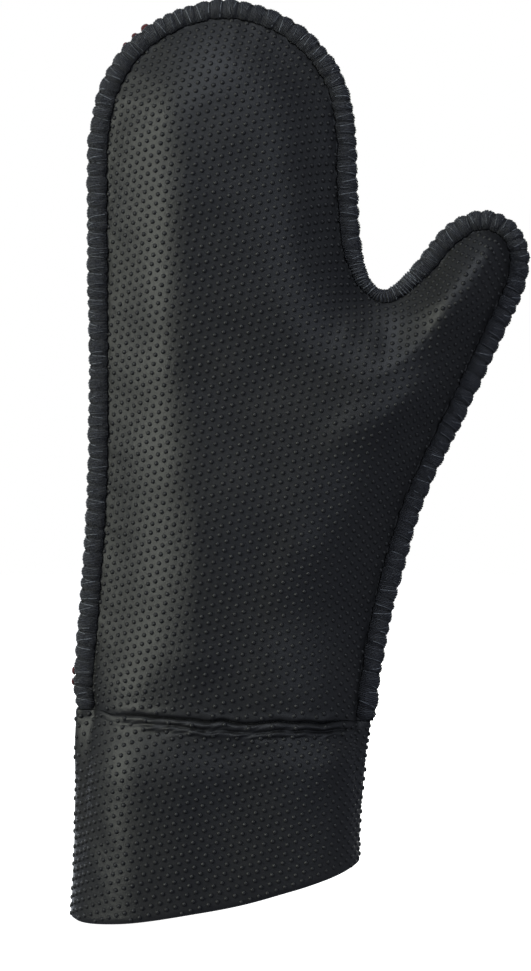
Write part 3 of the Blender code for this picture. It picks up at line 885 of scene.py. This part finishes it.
def light_strands():
    """Each thin lighter yarn: its place along the edge, its lean, and the turn at which it dives under."""
    random = np.random.RandomState(8)
    strands = []
    for stop in LOBE_STOPS:
        for way in (-1.0, 1.0):
            place = stop + random.uniform(-0.4, 0.4)
            lean = way * random.uniform(0.8, 3.0)
            strands.append((place, lean, random.uniform(0.3, 0.62)))
    crotch = EDGE_RUN[from_crotch(EDGE).argmin()]
    for place in np.arange(crotch - CROTCH_STRANDS, crotch + CROTCH_STRANDS, CROTCH_STRAND_STEP):
        strands.append((place + random.uniform(-0.3, 0.3), random.uniform(-0.8, 0.8), 0.23))
    return sorted(strands)


def add_light_strands(piece, low, high):
    """The thin lighter yarns that cross the wrap: a V at each bunch, and side by side in the crotch."""
    for place, lean, dive in light_strands():
        if low + 3.0 < place < high - 3.0:
            turn = np.linspace(dive * math.pi, (2.0 - dive) * math.pi, 15)
            run = place + lean * (np.abs(turn / math.pi - 1.0) / (1.0 - dive)) ** 0.8
            block = tube(wrap_surface(run, turn, 0.02)[0], LIGHT_STRAND_RADIUS, 4)
            piece.add(*block, 1, np.tile((place, 0.0, 1.0), (len(block[0]), 1)))


def add_wraps(materials):
    """The wrap in the four stretches that the panels have."""
    run, rings, detail = wrap_rings()
    count = rings.shape[1]
    flat = rings.reshape(-1, 3)
    normals = vertex_normals(flat, ring_triangles(len(run), count))
    position = read_at(run, EDGE_RUN, EDGE)
    above = position[:, 1] > SPLIT_Z
    first_split, last_split = np.nonzero(above)[0][[0, -1]]
    crotch = int(from_crotch(position).argmin())
    stretches = {
        "lower_left": (0, first_split),
        "fingers": (first_split, crotch),
        "thumb": (crotch, last_split),
        "lower_right": (last_split, len(run) - 1),
    }
    made = {}
    for name, (low, high) in stretches.items():
        piece = Piece(f"wrapped_edge_{name}")
        block = flat[low * count : (high + 1) * count]
        triangles = ring_triangles(high - low + 1, count)
        corner = normals[low * count : (high + 1) * count][triangles]
        cap = cap_triangles(count)
        caps = np.concatenate([cap, cap[:, ::-1] + (high - low) * count])
        corners = np.concatenate([corner, face_normals(block, caps)])
        values = detail[low : high + 1].reshape(-1, 3)
        piece.add(block, np.concatenate([triangles, caps]), corners, 0, values)
        add_light_strands(piece, run[low], run[high])
        made[name] = piece.make(*materials)
    return made


# Where the lining's margin shows past the wrap, by panel: (place along the edge, half length, stand-out).
# A place below 0 counts back from the fingertips.
LINING_GLIMPSES = {
    "fingers": ((-37.2, 2.3, 1.15), (-43.0, 1.7, 0.95), (-48.6, 1.6, 0.8)),
    "lower": ((14.0, 1.9, 0.65), (18.8, 2.0, 0.7)),
}
GLIMPSE_Y = 1.2


def add_lining_glimpses(name, places, materials):
    """Small rounded tufts of the lining's margin, caught in the wrap and pushed out past it."""
    piece = Piece(f"{name}_lining_margin")
    top = EDGE_RUN[EDGE[:, 1].argmax()]
    rounds, rings = 12, 7
    turn = np.linspace(0.0, 2 * math.pi, rounds, endpoint=False)
    for place, half, stand in places:
        position, normal, _ = edge_data(place if place > 0 else top + place)
        direction = np.array([normal[1], -normal[0]])
        points = []
        for share in np.linspace(-1.0, 1.0, rings):
            thick = math.sqrt(max(1.0 - share * share, 0.004))
            out = (0.4 + stand * np.cos(turn) * 1.3) * thick
            flat = position + direction * half * share - normal * out[:, None]
            points.append(stack(flat[:, 0], GLIMPSE_Y + 1.7 * thick * np.sin(turn), flat[:, 1]))
        piece.add_smooth(np.array(points).reshape(-1, 3), capped_triangles(rings, rounds))
    return piece.make(*materials)


def cap_triangles(count):
    """Triangles across a C-shaped ring: between its outside and the two slot points that follow."""
    outside = count - 2
    half = outside // 2
    first, last = outside, outside + 1
    faces = [(first if k >= half else last, k, k + 1) for k in range(outside - 1)]
    faces.append((last, half, first))
    return np.array(faces)


# ---------------------------------------------------------------- the cuff

CUFF_ROWS = 34
HALF_COUNT = 76
CUFF_WAIST = 0.018
# Upright folds on the palm side: x, half width, height
CUFF_FOLDS = ((-36.0, 12.0, 1.9), (10.0, 17.0, -2.8), (56.0, 12.0, 1.2))
# The shares of its height over which it loses the gauntlet's seam corners, and gets its own section
CUFF_SOFTENS_WITHIN = 0.09
CUFF_ROUNDS_WITHIN = 0.32


def cuff_top_half(side):
    """The cuff's top line on one side, towards the thumb side; it follows the gauntlet."""
    left, right = CUFF_TOP_X - CUFF_TOP_HALF, CUFF_TOP_X + CUFF_TOP_HALF
    share = (1.0 - np.cos(np.linspace(0.0, math.pi, 400))) / 2
    x = left + (right - left) * share
    depth = np.minimum(x - SEAM[0, 0], SEAM[-1, 0] - x)
    height, width, full = filled_form(stack(x, np.full_like(x, JOIN_Z)))
    reach = np.clip(depth / width, 0.0, 1.0)
    y = FLANGE + height * side_profile(reach, full)
    end = np.clip(np.minimum(x - left, right - x) / FLANGE, 0.0, 1.0)
    y *= np.sqrt(1.0 - (1.0 - end) ** 2)
    return stack(x, SIGN[side] * y)


def cuff_hem_half(side):
    """The hem on one side: half an oval."""
    turn = np.linspace(math.pi, 0.0, 400)
    return stack(CUFF_HEM_X + CUFF_HEM_HALF * np.cos(turn), SIGN[side] * CUFF_HEM_DEPTH * np.sin(turn))


def cuff_ring(half):
    """A closed line round the cuff: along the palm to the thumb side, and back along the back."""
    palm, back = (resample(line, run_of(line)[-1] / HALF_COUNT) for line in map(half, ("palm", "back")))
    return np.vstack([palm[:-1], back[::-1][:-1]])


CUFF_TOP_RING = cuff_ring(cuff_top_half)
CUFF_HEM_RING = cuff_ring(cuff_hem_half)
SOFT_Y = sum(np.roll(CUFF_TOP_RING[:, 1], shift) for shift in range(-4, 5)) / 9
CUFF_SOFT_RING = stack(CUFF_TOP_RING[:, 0], SOFT_Y)
RING_COUNT = len(CUFF_TOP_RING)
RING_NORMALS = []
for ring in (CUFF_TOP_RING, CUFF_HEM_RING):
    step = np.roll(ring, -1, axis=0) - np.roll(ring, 1, axis=0)
    RING_NORMALS.append(unit(stack(step[:, 1], -step[:, 0])))
CUFF_LENGTH = run_of(np.vstack([CUFF_HEM_RING, CUFF_HEM_RING[:1]]))[-1]
CUFF_TALL = CREASE_Z - CREASE_HALF


def cuff_form(around, down):
    """The cuff without its folds: the point in plan, the height, and the way outwards in plan."""
    low = np.floor(around).astype(int)
    part = (around - low)[..., None]
    after = (low + 1) % RING_COUNT

    def pick(table):
        return mix(table[low], table[after], part)

    ease = smooth(down / CUFF_ROUNDS_WITHIN)[..., None]
    soften = smooth(down / CUFF_SOFTENS_WITHIN)[..., None]
    top = mix(pick(CUFF_TOP_RING), pick(CUFF_SOFT_RING), soften)
    bottom = pick(CUFF_HEM_RING)
    flat = mix(top, bottom, ease)
    waist = 1.0 - CUFF_WAIST * np.sin(math.pi * np.clip(down, 0.0, 1.0))
    flat[..., 0] = mix(top[..., 0], bottom[..., 0], down) * waist
    outward = unit(mix(pick(RING_NORMALS[0]), pick(RING_NORMALS[1]), ease))
    hem = HEM_SLOPE_X * flat[..., 0] + HEM_SLOPE_Y * flat[..., 1]
    return flat, CUFF_TALL + (hem - CUFF_TALL) * down, outward


def by_side(palm, value, *places):
    """A value that the palm side and the back each have their own version of."""
    return np.where(palm, value(*places, "palm"), value(*places, "back"))


def cuff_face(around, down, inset=0.0):
    """A point of the cuff; around counts ring points, down goes from the crease (0) to the hem (1)."""
    around = np.asarray(around) % RING_COUNT
    flat, z, outward = cuff_form(around, down)
    x = flat[..., 0]
    below = CUFF_TALL - z
    palm = around < RING_COUNT / 2
    from_side = RING_COUNT / 4 - np.abs(around % (RING_COUNT / 2) - RING_COUNT / 4)  # in ring points
    edge = between((0.0, 7.0), from_side)
    roll = by_side(palm, rolls_under_crease, below, x) + turned_edge(below, x)
    turn = around * 2 * math.pi / RING_COUNT
    plane = stack(np.cos(turn) * 50.0, z + np.sin(turn) * 50.0).reshape(-1, 2)
    soft = (0.8 * noise(plane, 34.0, 91) + 0.3 * noise(plane, 12.0, 92)).reshape(z.shape)
    for fold, half, height in CUFF_FOLDS:
        soft = soft + palm * height * bell(x - fold, half)
    out = soft * smooth((below - 2.0) / 14.0) + roll * (0.3 + 0.7 * edge) - inset
    lift = by_side(palm, crease_wave, x) * edge * near_crease(below) + crease_tilt(x, below)
    hem_wave = 0.5 * wave(around * 2.2, 26.0, 93) * smooth((down - 0.8) / 0.2)
    flat = flat + outward * out[..., None]
    return stack(flat[..., 0], flat[..., 1], z + lift + hem_wave)


def cuff_downs():
    """The cuff's rows, close together over the rolled edge and even below it."""
    top = np.concatenate([np.arange(0.0, 8.0, 0.5), [8.6, 9.6, 11.0]]) / CUFF_TALL
    return np.concatenate([top, np.linspace(top[-1] + 0.025, 1.0, CUFF_ROWS)])


def add_cuff_sheet(name, inset, thick, first_down, materials, dotted=False):
    """A closed ring of sheet with a rounded hem."""
    down = np.unique(np.clip(cuff_downs(), first_down, 1.0))
    around = np.arange(RING_COUNT)
    downs, arounds = np.meshgrid(down, around, indexing="ij")
    outer = cuff_face(arounds, downs, inset)
    inner = cuff_face(arounds, downs, inset + thick)
    middle = cuff_face(around, np.ones(RING_COUNT), inset + thick / 2)
    middle[:, 2] -= thick * 0.35
    rings = np.concatenate([outer, middle[None], inner[::-1], outer[:1]])
    closed = (len(rings) - 1) * RING_COUNT
    piece = Piece(name)
    piece.add_smooth(rings.reshape(-1, 3)[:closed], ring_triangles(len(rings), RING_COUNT) % closed)
    if dotted:
        add_cuff_dots(piece)
    return piece.make(*materials)


CUFF_DOTS_BOTTOM, CUFF_DOTS_TALL = -18.0, 100.0  # the band that their lattice fills, past both ends


def add_cuff_dots(piece):
    """The dots of the cuff, all round it, left off the stitched crease and most of the rolled edge."""
    wanted = lattice((0.0, 0.0), (CUFF_LENGTH - DOT_PITCH * 0.4, CUFF_DOTS_TALL))
    around = wanted[:, 0] / CUFF_LENGTH * RING_COUNT
    tall = CUFF_TALL - cuff_face(around, np.ones(len(around)))[:, 2]
    down = (CUFF_TALL - (wanted[:, 1] + CUFF_DOTS_BOTTOM)) / tall
    x = cuff_face(around, np.clip(down, 0.0, 1.0))[:, 0]
    below = down * tall
    low, high = NO_DOTS_BELOW_CREASE
    on_roll = (below > low) & (below < high) & (roll_strength(x) > ROLLS_STAND_OUT)
    kept = (below > DOTS_BELOW_CREASE) & ~on_roll & ((1.0 - down) * tall > DOT_CLEAR)
    around, down = around[kept], down[kept]
    centre = cuff_face(around, down)
    across = cuff_face(around + 0.12, down) - cuff_face(around - 0.12, down)
    along_down = cuff_face(around, down + 0.003) - cuff_face(around, down - 0.003)
    normal = unit(np.cross(across, along_down))
    outward = centre[:, :2] - (CUFF_HEM_X, 0.0)
    facing = np.sign((normal[:, :2] * outward).sum(1))[:, None]
    add_dots(piece, centre, normal * facing, unit(across))


STITCH_STEP = 0.55
STITCH_RADIUS = 0.55
STITCH_INSET = 0.9
STITCH_TURNS = 10
STITCH_LENGTH = 2.6


def add_join_stitches(materials):
    """The thread in the crease, pulled tight over both rolled edges."""
    count = round(CUFF_LENGTH / STITCH_STEP)
    around = np.arange(count) * RING_COUNT / count
    run = np.arange(count) * CUFF_LENGTH / count
    centre = cuff_face(around, np.zeros(count), STITCH_INSET)
    behind = cuff_face(around, np.zeros(count), 3.0)
    outward = unit((centre - behind) * (1.0, 1.0, 0.0))
    centre[:, 2] += CREASE_HALF
    upward = np.broadcast_to((0.0, 0.0, 1.0), outward.shape)
    radius = STITCH_RADIUS * (1.0 + 0.3 * np.abs(np.sin(math.pi * run / STITCH_LENGTH)))
    around_thread = spokes(outward, upward, STITCH_TURNS) * radius[:, None, None]
    points = (centre[:, None] + around_thread).reshape(-1, 3)
    triangles = ring_triangles(count + 1, STITCH_TURNS) % len(points)
    detail = np.zeros((count, STITCH_TURNS, 3))
    detail[..., 0] = run[:, None]
    detail[..., 2] = 0.5
    piece = Piece("cuff_join_stitches")
    piece.add_smooth(points, triangles, detail.reshape(-1, 3))
    return piece.make(*materials)


TAPE_HALF = 3.4
TAPE_THICK = 0.8
TAPE_OFF = 0.35
TAPE_STEP = 0.45
TAPE_START, TAPE_SHARE = 0.03, 0.94  # of the cuff's height: where the seam starts, and how much it covers
TAPE_ACROSS = np.linspace(-1.0, 1.0, 9)


def add_closing_seam(materials):
    """The overlocked seam that closes the cuff's tube, down the middle of its back."""
    middle = RING_COUNT * 0.75
    tall = CUFF_TALL - cuff_face(middle, 1.0)[2]
    count = round(tall * TAPE_SHARE / TAPE_STEP)
    run = np.arange(count) * TAPE_STEP
    down = (run + TAPE_START * tall) / tall
    points, detail = [], []
    for under in (False, True):
        for across in TAPE_ACROSS if not under else TAPE_ACROSS[::-1]:
            around = middle + across * TAPE_HALF / CUFF_LENGTH * RING_COUNT
            bow = (1.0 - across**4) * TAPE_THICK
            strand = 0.35 * np.abs(np.sin(math.pi * (run + 0.9 * across) / STRAND))
            lift = TAPE_OFF if under else TAPE_OFF + 0.25 + bow + strand
            points.append(cuff_face(np.full(count, around), down, -lift))
            across_mm, height = across * TAPE_HALF, bow / TAPE_THICK
            # The yarn material darkens the tape where this share of its bow is low: painted shade along the
            # tape's edges
            detail.append(stack(run, np.full(count, across_mm), np.full(count, height)))
    block, values = (np.stack(lines, axis=1).reshape(-1, 3) for lines in (points, detail))
    piece = Piece("cuff_closing_stitches")
    piece.add_smooth(block, capped_triangles(count, len(points)), values)
    return piece.make(*materials)


# ---------------------------------------------------------------- materials

class Nodes:
    """Short names for building a node material round one Principled BSDF."""

    def __init__(self, name, colour, roughness):
        self.material = bpy.data.materials.new(name)
        self.material.use_nodes = True
        self.tree = self.material.node_tree
        self.shader = self.tree.nodes["Principled BSDF"]
        self.shader.inputs["Base Color"].default_value = (*colour, 1.0)
        self.shader.inputs["Roughness"].default_value = roughness

    def add(self, kind, **settings):
        node = self.tree.nodes.new(kind)
        for name, value in settings.items():
            setattr(node, name, value)
        return node

    def link(self, out, into):
        self.tree.links.new(out, into)

    def attribute(self, name):
        node = self.add("ShaderNodeAttribute", attribute_type="GEOMETRY", attribute_name=name)
        return node.outputs["Vector"]

    def detail(self):
        """The three numbers of the detail attribute, as outputs X, Y and Z."""
        split = self.add("ShaderNodeSeparateXYZ")
        self.link(self.attribute("detail"), split.inputs["Vector"])
        return split.outputs

    def noise(self, scale, detail=2.0, vector=None):
        node = self.add("ShaderNodeTexNoise")
        node.inputs["Scale"].default_value = scale
        node.inputs["Detail"].default_value = detail
        self.link(vector or self.attribute("rest"), node.inputs["Vector"])
        return node.outputs["Fac"]

    def bands(self, direction, period, distortion, vector="rest", detail_scale=1.0):
        """Soft stripes across a direction; the period is in the vector's own unit."""
        node = self.add("ShaderNodeTexWave", wave_type="BANDS", bands_direction=direction)
        node.inputs["Scale"].default_value = 0.314 / period
        node.inputs["Distortion"].default_value = distortion
        node.inputs["Detail Scale"].default_value = detail_scale
        self.link(self.attribute(vector), node.inputs["Vector"])
        return node.outputs["Fac"]

    def ramp(self, value, low, high, stops=(0.3, 0.7)):
        """A colour between low and high, as the value goes from the first stop to the second."""
        node = self.add("ShaderNodeValToRGB")
        for element, colour, stop in zip(node.color_ramp.elements, (low, high), stops):
            element.color = (*colour, 1.0)
            element.position = stop
        self.link(value, node.inputs["Fac"])
        return node.outputs["Color"]

    def spread(self, value, low, high):
        """A number between low and high, as the value goes from 0 to 1."""
        node = self.add("ShaderNodeMapRange")
        node.inputs["To Min"].default_value = low
        node.inputs["To Max"].default_value = high
        self.link(value, node.inputs["Value"])
        return node.outputs["Result"]

    def dim(self, colour, value, low, high):
        """The colour times a factor that follows the value."""
        node = self.add("ShaderNodeVectorMath", operation="SCALE")
        self.link(colour, node.inputs[0])
        self.link(self.spread(value, low, high), node.inputs["Scale"])
        return node.outputs["Vector"]

    def bump(self, height, strength, distance, before=None):
        node = self.add("ShaderNodeBump")
        node.inputs["Strength"].default_value = strength
        node.inputs["Distance"].default_value = distance
        self.link(height, node.inputs["Height"])
        if before is not None:
            self.link(before, node.inputs["Normal"])
        return node.outputs["Normal"]

    def set(self, socket, value):
        self.link(value, self.shader.inputs[socket])


def rubber_material():
    """Black foam rubber: fine skin grain, slow changes of gloss, a painted highlight on the dot tops and
    painted shade round their feet.
    """
    nodes = Nodes("dotted_rubber", (0.016, 0.016, 0.017), 0.5)
    patches = nodes.noise(28.0, 3.0)
    base = nodes.ramp(patches, (0.0095, 0.010, 0.0115), (0.016, 0.016, 0.0155))
    detail = nodes.detail()
    # Painted highlight: the dot tops are mixed towards a lighter grey
    dot_top_highlight = nodes.add("ShaderNodeMix", data_type="RGBA")
    dot_top_highlight.inputs["B"].default_value = (0.024, 0.024, 0.024, 1.0)
    nodes.link(nodes.spread(detail["X"], 0.0, 0.45), dot_top_highlight.inputs["Factor"])
    nodes.link(base, dot_top_highlight.inputs["A"])
    # Painted shade: the colour darkens to 0.3 of itself deep in the dots' feet
    nodes.set("Base Color", nodes.dim(dot_top_highlight.outputs["Result"], detail["Y"], 1.0, 0.3))
    nodes.set("Roughness", nodes.spread(nodes.noise(55.0, 4.0), 0.40, 0.56))
    coarse = nodes.bump(nodes.noise(420.0, 3.0), 0.35, 0.0006)
    nodes.set("Normal", nodes.bump(nodes.noise(1900.0, 2.0), 0.3, 0.0003, coarse))
    return nodes.material


def felt_material():
    nodes = Nodes("insulating_felt", (0.34, 0.33, 0.31), 0.95)
    nodes.set("Base Color", nodes.ramp(nodes.noise(260.0, 5.0), (0.26, 0.25, 0.235), (0.42, 0.41, 0.385)))
    nodes.shader.inputs["Sheen Weight"].default_value = 0.3
    nodes.set("Normal", nodes.bump(nodes.noise(900.0, 6.0), 0.7, 0.0008))
    return nodes.material


def weave(nodes, period):
    """A plain weave's height from two crossed sets of ridges."""
    both = nodes.add("ShaderNodeMath", operation="MULTIPLY")
    for direction, socket in zip(("X", "Z"), both.inputs):
        nodes.link(nodes.bands(direction, period, 0.6), socket)
    return both.outputs["Value"]


def lining_material():
    nodes = Nodes("woven_lining", (0.16, 0.018, 0.02), 0.85)
    threads = weave(nodes, 0.0007)
    nodes.set("Base Color", nodes.ramp(threads, (0.075, 0.008, 0.010), (0.21, 0.026, 0.028), (0.0, 0.8)))
    nodes.shader.inputs["Sheen Weight"].default_value = 0.25
    soft = nodes.bump(nodes.noise(300.0, 3.0), 0.3, 0.0008)
    nodes.set("Normal", nodes.bump(threads, 0.6, 0.0004, soft))
    return nodes.material


YARN_SHADE = 0.48  # how dark the yarn is made in the dips between bunches, as painted shade, and beside the seam


def yarn_material(name, dark, light, roughness):
    """Wrapped yarn: fibres that run across the edge, darker towards the seam, with painted shade in the
    dips between bunches.
    """
    nodes = Nodes(name, light, roughness)
    fibre = nodes.bands("X", 0.62, 2.2, "detail", 1.4)
    height = nodes.detail()["Z"]
    colour = nodes.ramp(fibre, dark, light, (0.15, 0.95))
    colour = nodes.dim(colour, nodes.noise(1300.0, 2.0), 0.0, 2.1)
    # Painted shade in the dips between bunches, and darker towards the seam
    nodes.set("Base Color", nodes.dim(colour, height, YARN_SHADE, 1.0))
    nodes.shader.inputs["Sheen Weight"].default_value = 0.1
    nodes.set("Roughness", nodes.spread(height, 0.85, roughness))
    ridges = nodes.bump(fibre, 1.0, 0.0008)
    nodes.set("Normal", nodes.bump(nodes.noise(1400.0, 3.0), 0.6, 0.0005, ridges))
    return nodes.material


# ---------------------------------------------------------------- camera, light and floor

SEEN_HEIGHT = 0.4231  # metres of the mitt's plane that the picture shows from top to bottom
CAMERA_AT = (0.0224, -1.05, 0.1740)
SENSOR = 36.0
LIGHTS_AIM = (0.02, 0.0, 0.2)
LIGHTS = (  # name, place, width and height, watts, colour
    ("key", (-1.15, -0.62, 0.45), (0.4, 1.2), 12.0, (0.965, 1.0, 0.88)),
    ("fill", (0.75, -0.95, 0.45), (0.5, 0.8), 1.6, (0.80, 0.88, 1.0)),
    ("behind", (0.55, 1.35, 0.55), (0.5, 1.0), 16.0, (0.98, 1.0, 0.92)),
    ("behind_low", (-0.75, 1.15, 0.15), (0.5, 0.8), 4.0, (0.86, 0.92, 1.0)),
    ("top", (-0.1, -0.75, 1.25), (0.9, 0.9), 5.2, (0.86, 0.92, 1.0)),
)
SOFT_LIGHT = ((0.79, 0.84, 1.0, 1.0), 0.212)  # the studio's colour and strength
WHITE = ((1.0, 1.0, 1.0, 1.0), 1.0)
FLOOR_HALF = 4.0
FLOOR_BELOW = 0.0015


def area_light(name, place, size, power, colour):
    data = bpy.data.lights.new(name, "AREA")
    data.shape = "RECTANGLE"
    data.size, data.size_y = size
    data.energy = power
    data.color = colour
    light = bpy.data.objects.new(name, data)
    light.location = place
    light.rotation_euler = (Vector(LIGHTS_AIM) - Vector(place)).to_track_quat("-Z", "Y").to_euler()
    bpy.context.scene.collection.objects.link(light)


def set_stage(height):
    """The camera, the lights, the pale surroundings and the floor at the given height."""
    scene = bpy.context.scene
    data = bpy.data.cameras.new("camera")
    data.sensor_fit = "VERTICAL"
    data.sensor_height = SENSOR
    data.lens = SENSOR * -CAMERA_AT[1] / SEEN_HEIGHT
    data.clip_start, data.clip_end = 0.05, 20.0
    camera = bpy.data.objects.new("camera", data)
    camera.location = CAMERA_AT
    camera.rotation_euler = (math.pi / 2, 0.0, 0.0)
    scene.collection.objects.link(camera)
    scene.camera = camera
    scene.view_settings.view_transform = "Standard"

    for light in LIGHTS:
        area_light(*light)

    world = bpy.data.worlds.new("studio")
    world.use_nodes = True
    scene.world = world
    tree = world.node_tree
    soft = tree.nodes["Background"]
    white = tree.nodes.new("ShaderNodeBackground")
    for node, (colour, strength) in ((soft, SOFT_LIGHT), (white, WHITE)):
        node.inputs["Color"].default_value = colour
        node.inputs["Strength"].default_value = strength
    path = tree.nodes.new("ShaderNodeLightPath")
    choice = tree.nodes.new("ShaderNodeMixShader")
    tree.links.new(path.outputs["Is Camera Ray"], choice.inputs["Fac"])
    tree.links.new(soft.outputs["Background"], choice.inputs[1])
    tree.links.new(white.outputs["Background"], choice.inputs[2])
    tree.links.new(choice.outputs["Shader"], tree.nodes["World Output"].inputs["Surface"])

    corners = [(x * FLOOR_HALF, y * FLOOR_HALF, height) for x, y in ((-1, -1), (1, -1), (1, 1), (-1, 1))]
    mesh = bpy.data.meshes.new("floor")
    mesh.from_pydata(corners, [], [(0, 1, 2, 3)])
    nodes = Nodes("pale_floor", (0.9, 0.9, 0.9), 0.9)
    nodes.shader.inputs["Emission Color"].default_value = WHITE[0]
    nodes.shader.inputs["Emission Strength"].default_value = WHITE[1]
    mesh.materials.append(nodes.material)
    floor = bpy.data.objects.new("floor", mesh)
    floor.visible_diffuse = False
    floor.visible_glossy = False
    scene.collection.objects.link(floor)


# ---------------------------------------------------------------- putting it together

WRIST_BLEND = ((0.0, 0.0, 0.155), (0.0, 0.0, 0.215))
KNUCKLE_BLEND = ((0.0, 0.0, 0.256), (0.0, 0.0, 0.308))
THUMB_BLEND = ((0.0965, 0.0, 0.2365), (0.1145, 0.0, 0.2605))
BENDS = {
    "lower": ("sleeve", "hand", *WRIST_BLEND),
    "fingers": ("hand", "fingers", *KNUCKLE_BLEND),
    "thumb": ("hand", "thumb", *THUMB_BLEND),
}


def bend(piece, panel):
    """Bakes a piece's placement into its mesh; the panel's two bodies and blend span are looked up in BENDS
    but not used.
    """
    first, second, start, end = BENDS[panel]
    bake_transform(piece)
    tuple(start)
    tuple(end)


def mitt_side(side, materials):
    """One side's three layers, from the dotted shell inwards, each in its three panels."""
    layers = {"shell": ("rubber", FINE), "insulation": ("felt", COARSE), "lining": ("lining", COARSE)}
    points = side_dots(side)
    dots = (points, *dot_frames(points, side))
    for layer, (slot, pattern) in layers.items():
        faces = sheet_points(pattern, side, layer)
        for panel, nodes in PANEL_NODES.items():
            name = f"{panel}_{side}_{layer}_sheet"
            mine = dots if layer == "shell" else None
            piece = add_panel(name, pattern, faces, side, panel, [materials[slot]], mine)
            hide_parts(*(f"{node}_{side}_{layer}" for node in nodes))
            bend(piece, panel)
            cut = surface_area(faces[0][0], pattern.triangles[in_panel(panel, pattern.middle)])


def mitt_edge(materials):
    """The wrapped yarn all round, and the lining that it leaves showing."""
    wraps = add_wraps([materials["thread"], materials["light"]])
    wrap_nodes = {
        "lower_left": ("lower", ("gauntlet_left_overlock", "hand_left_overlock")),
        "fingers": ("fingers", ("fingertip_overlock",)),
        "thumb": ("thumb", ("thumb_overlock", "crotch_overlock")),
        "lower_right": ("lower", ("gauntlet_right_overlock", "hand_right_overlock")),
    }
    for name, (panel, nodes) in wrap_nodes.items():
        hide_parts(*nodes)
        bend(wraps[name], panel)
    for name, places in LINING_GLIMPSES.items():
        tufts = add_lining_glimpses(name, places, [materials["lining"]])
        bend(tufts, name)


def cuff(materials):
    """The band and its lining, the stitched join and the closing seam, which all ride on the sleeve."""
    band = add_cuff_sheet("cuff_band_sheet", 0.0, SHELL, 0.0, [materials["rubber"]], True)
    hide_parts("cuff_band")
    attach(band, "sleeve")
    for piece, node in (
        (add_join_stitches([materials["thread"]]), "cuff_join_seam"),
        (add_closing_seam([materials["thread"]]), "cuff_closing_seam"),
    ):
        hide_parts(node)
        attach(piece, "sleeve")
    lining = add_cuff_sheet("cuff_lining_sheet", SHELL + GAP, LINING, 0.03, [materials["lining"]])
    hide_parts("cuff_lining")
    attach(lining, "sleeve")


def main():
    materials = {
        "rubber": rubber_material(),
        "felt": felt_material(),
        "lining": lining_material(),
        "thread": yarn_material("wrapped_yarn", (0.006, 0.006, 0.0085), (0.078, 0.084, 0.102), 0.46),
        "light": yarn_material("light_yarn", (0.07, 0.076, 0.084), (0.175, 0.188, 0.204), 0.45),
    }
    set_stage(cad_box[0][2] - FLOOR_BELOW)
    for side in ("palm", "back"):
        mitt_side(side, materials)
    mitt_edge(materials)
    cuff(materials)


main()
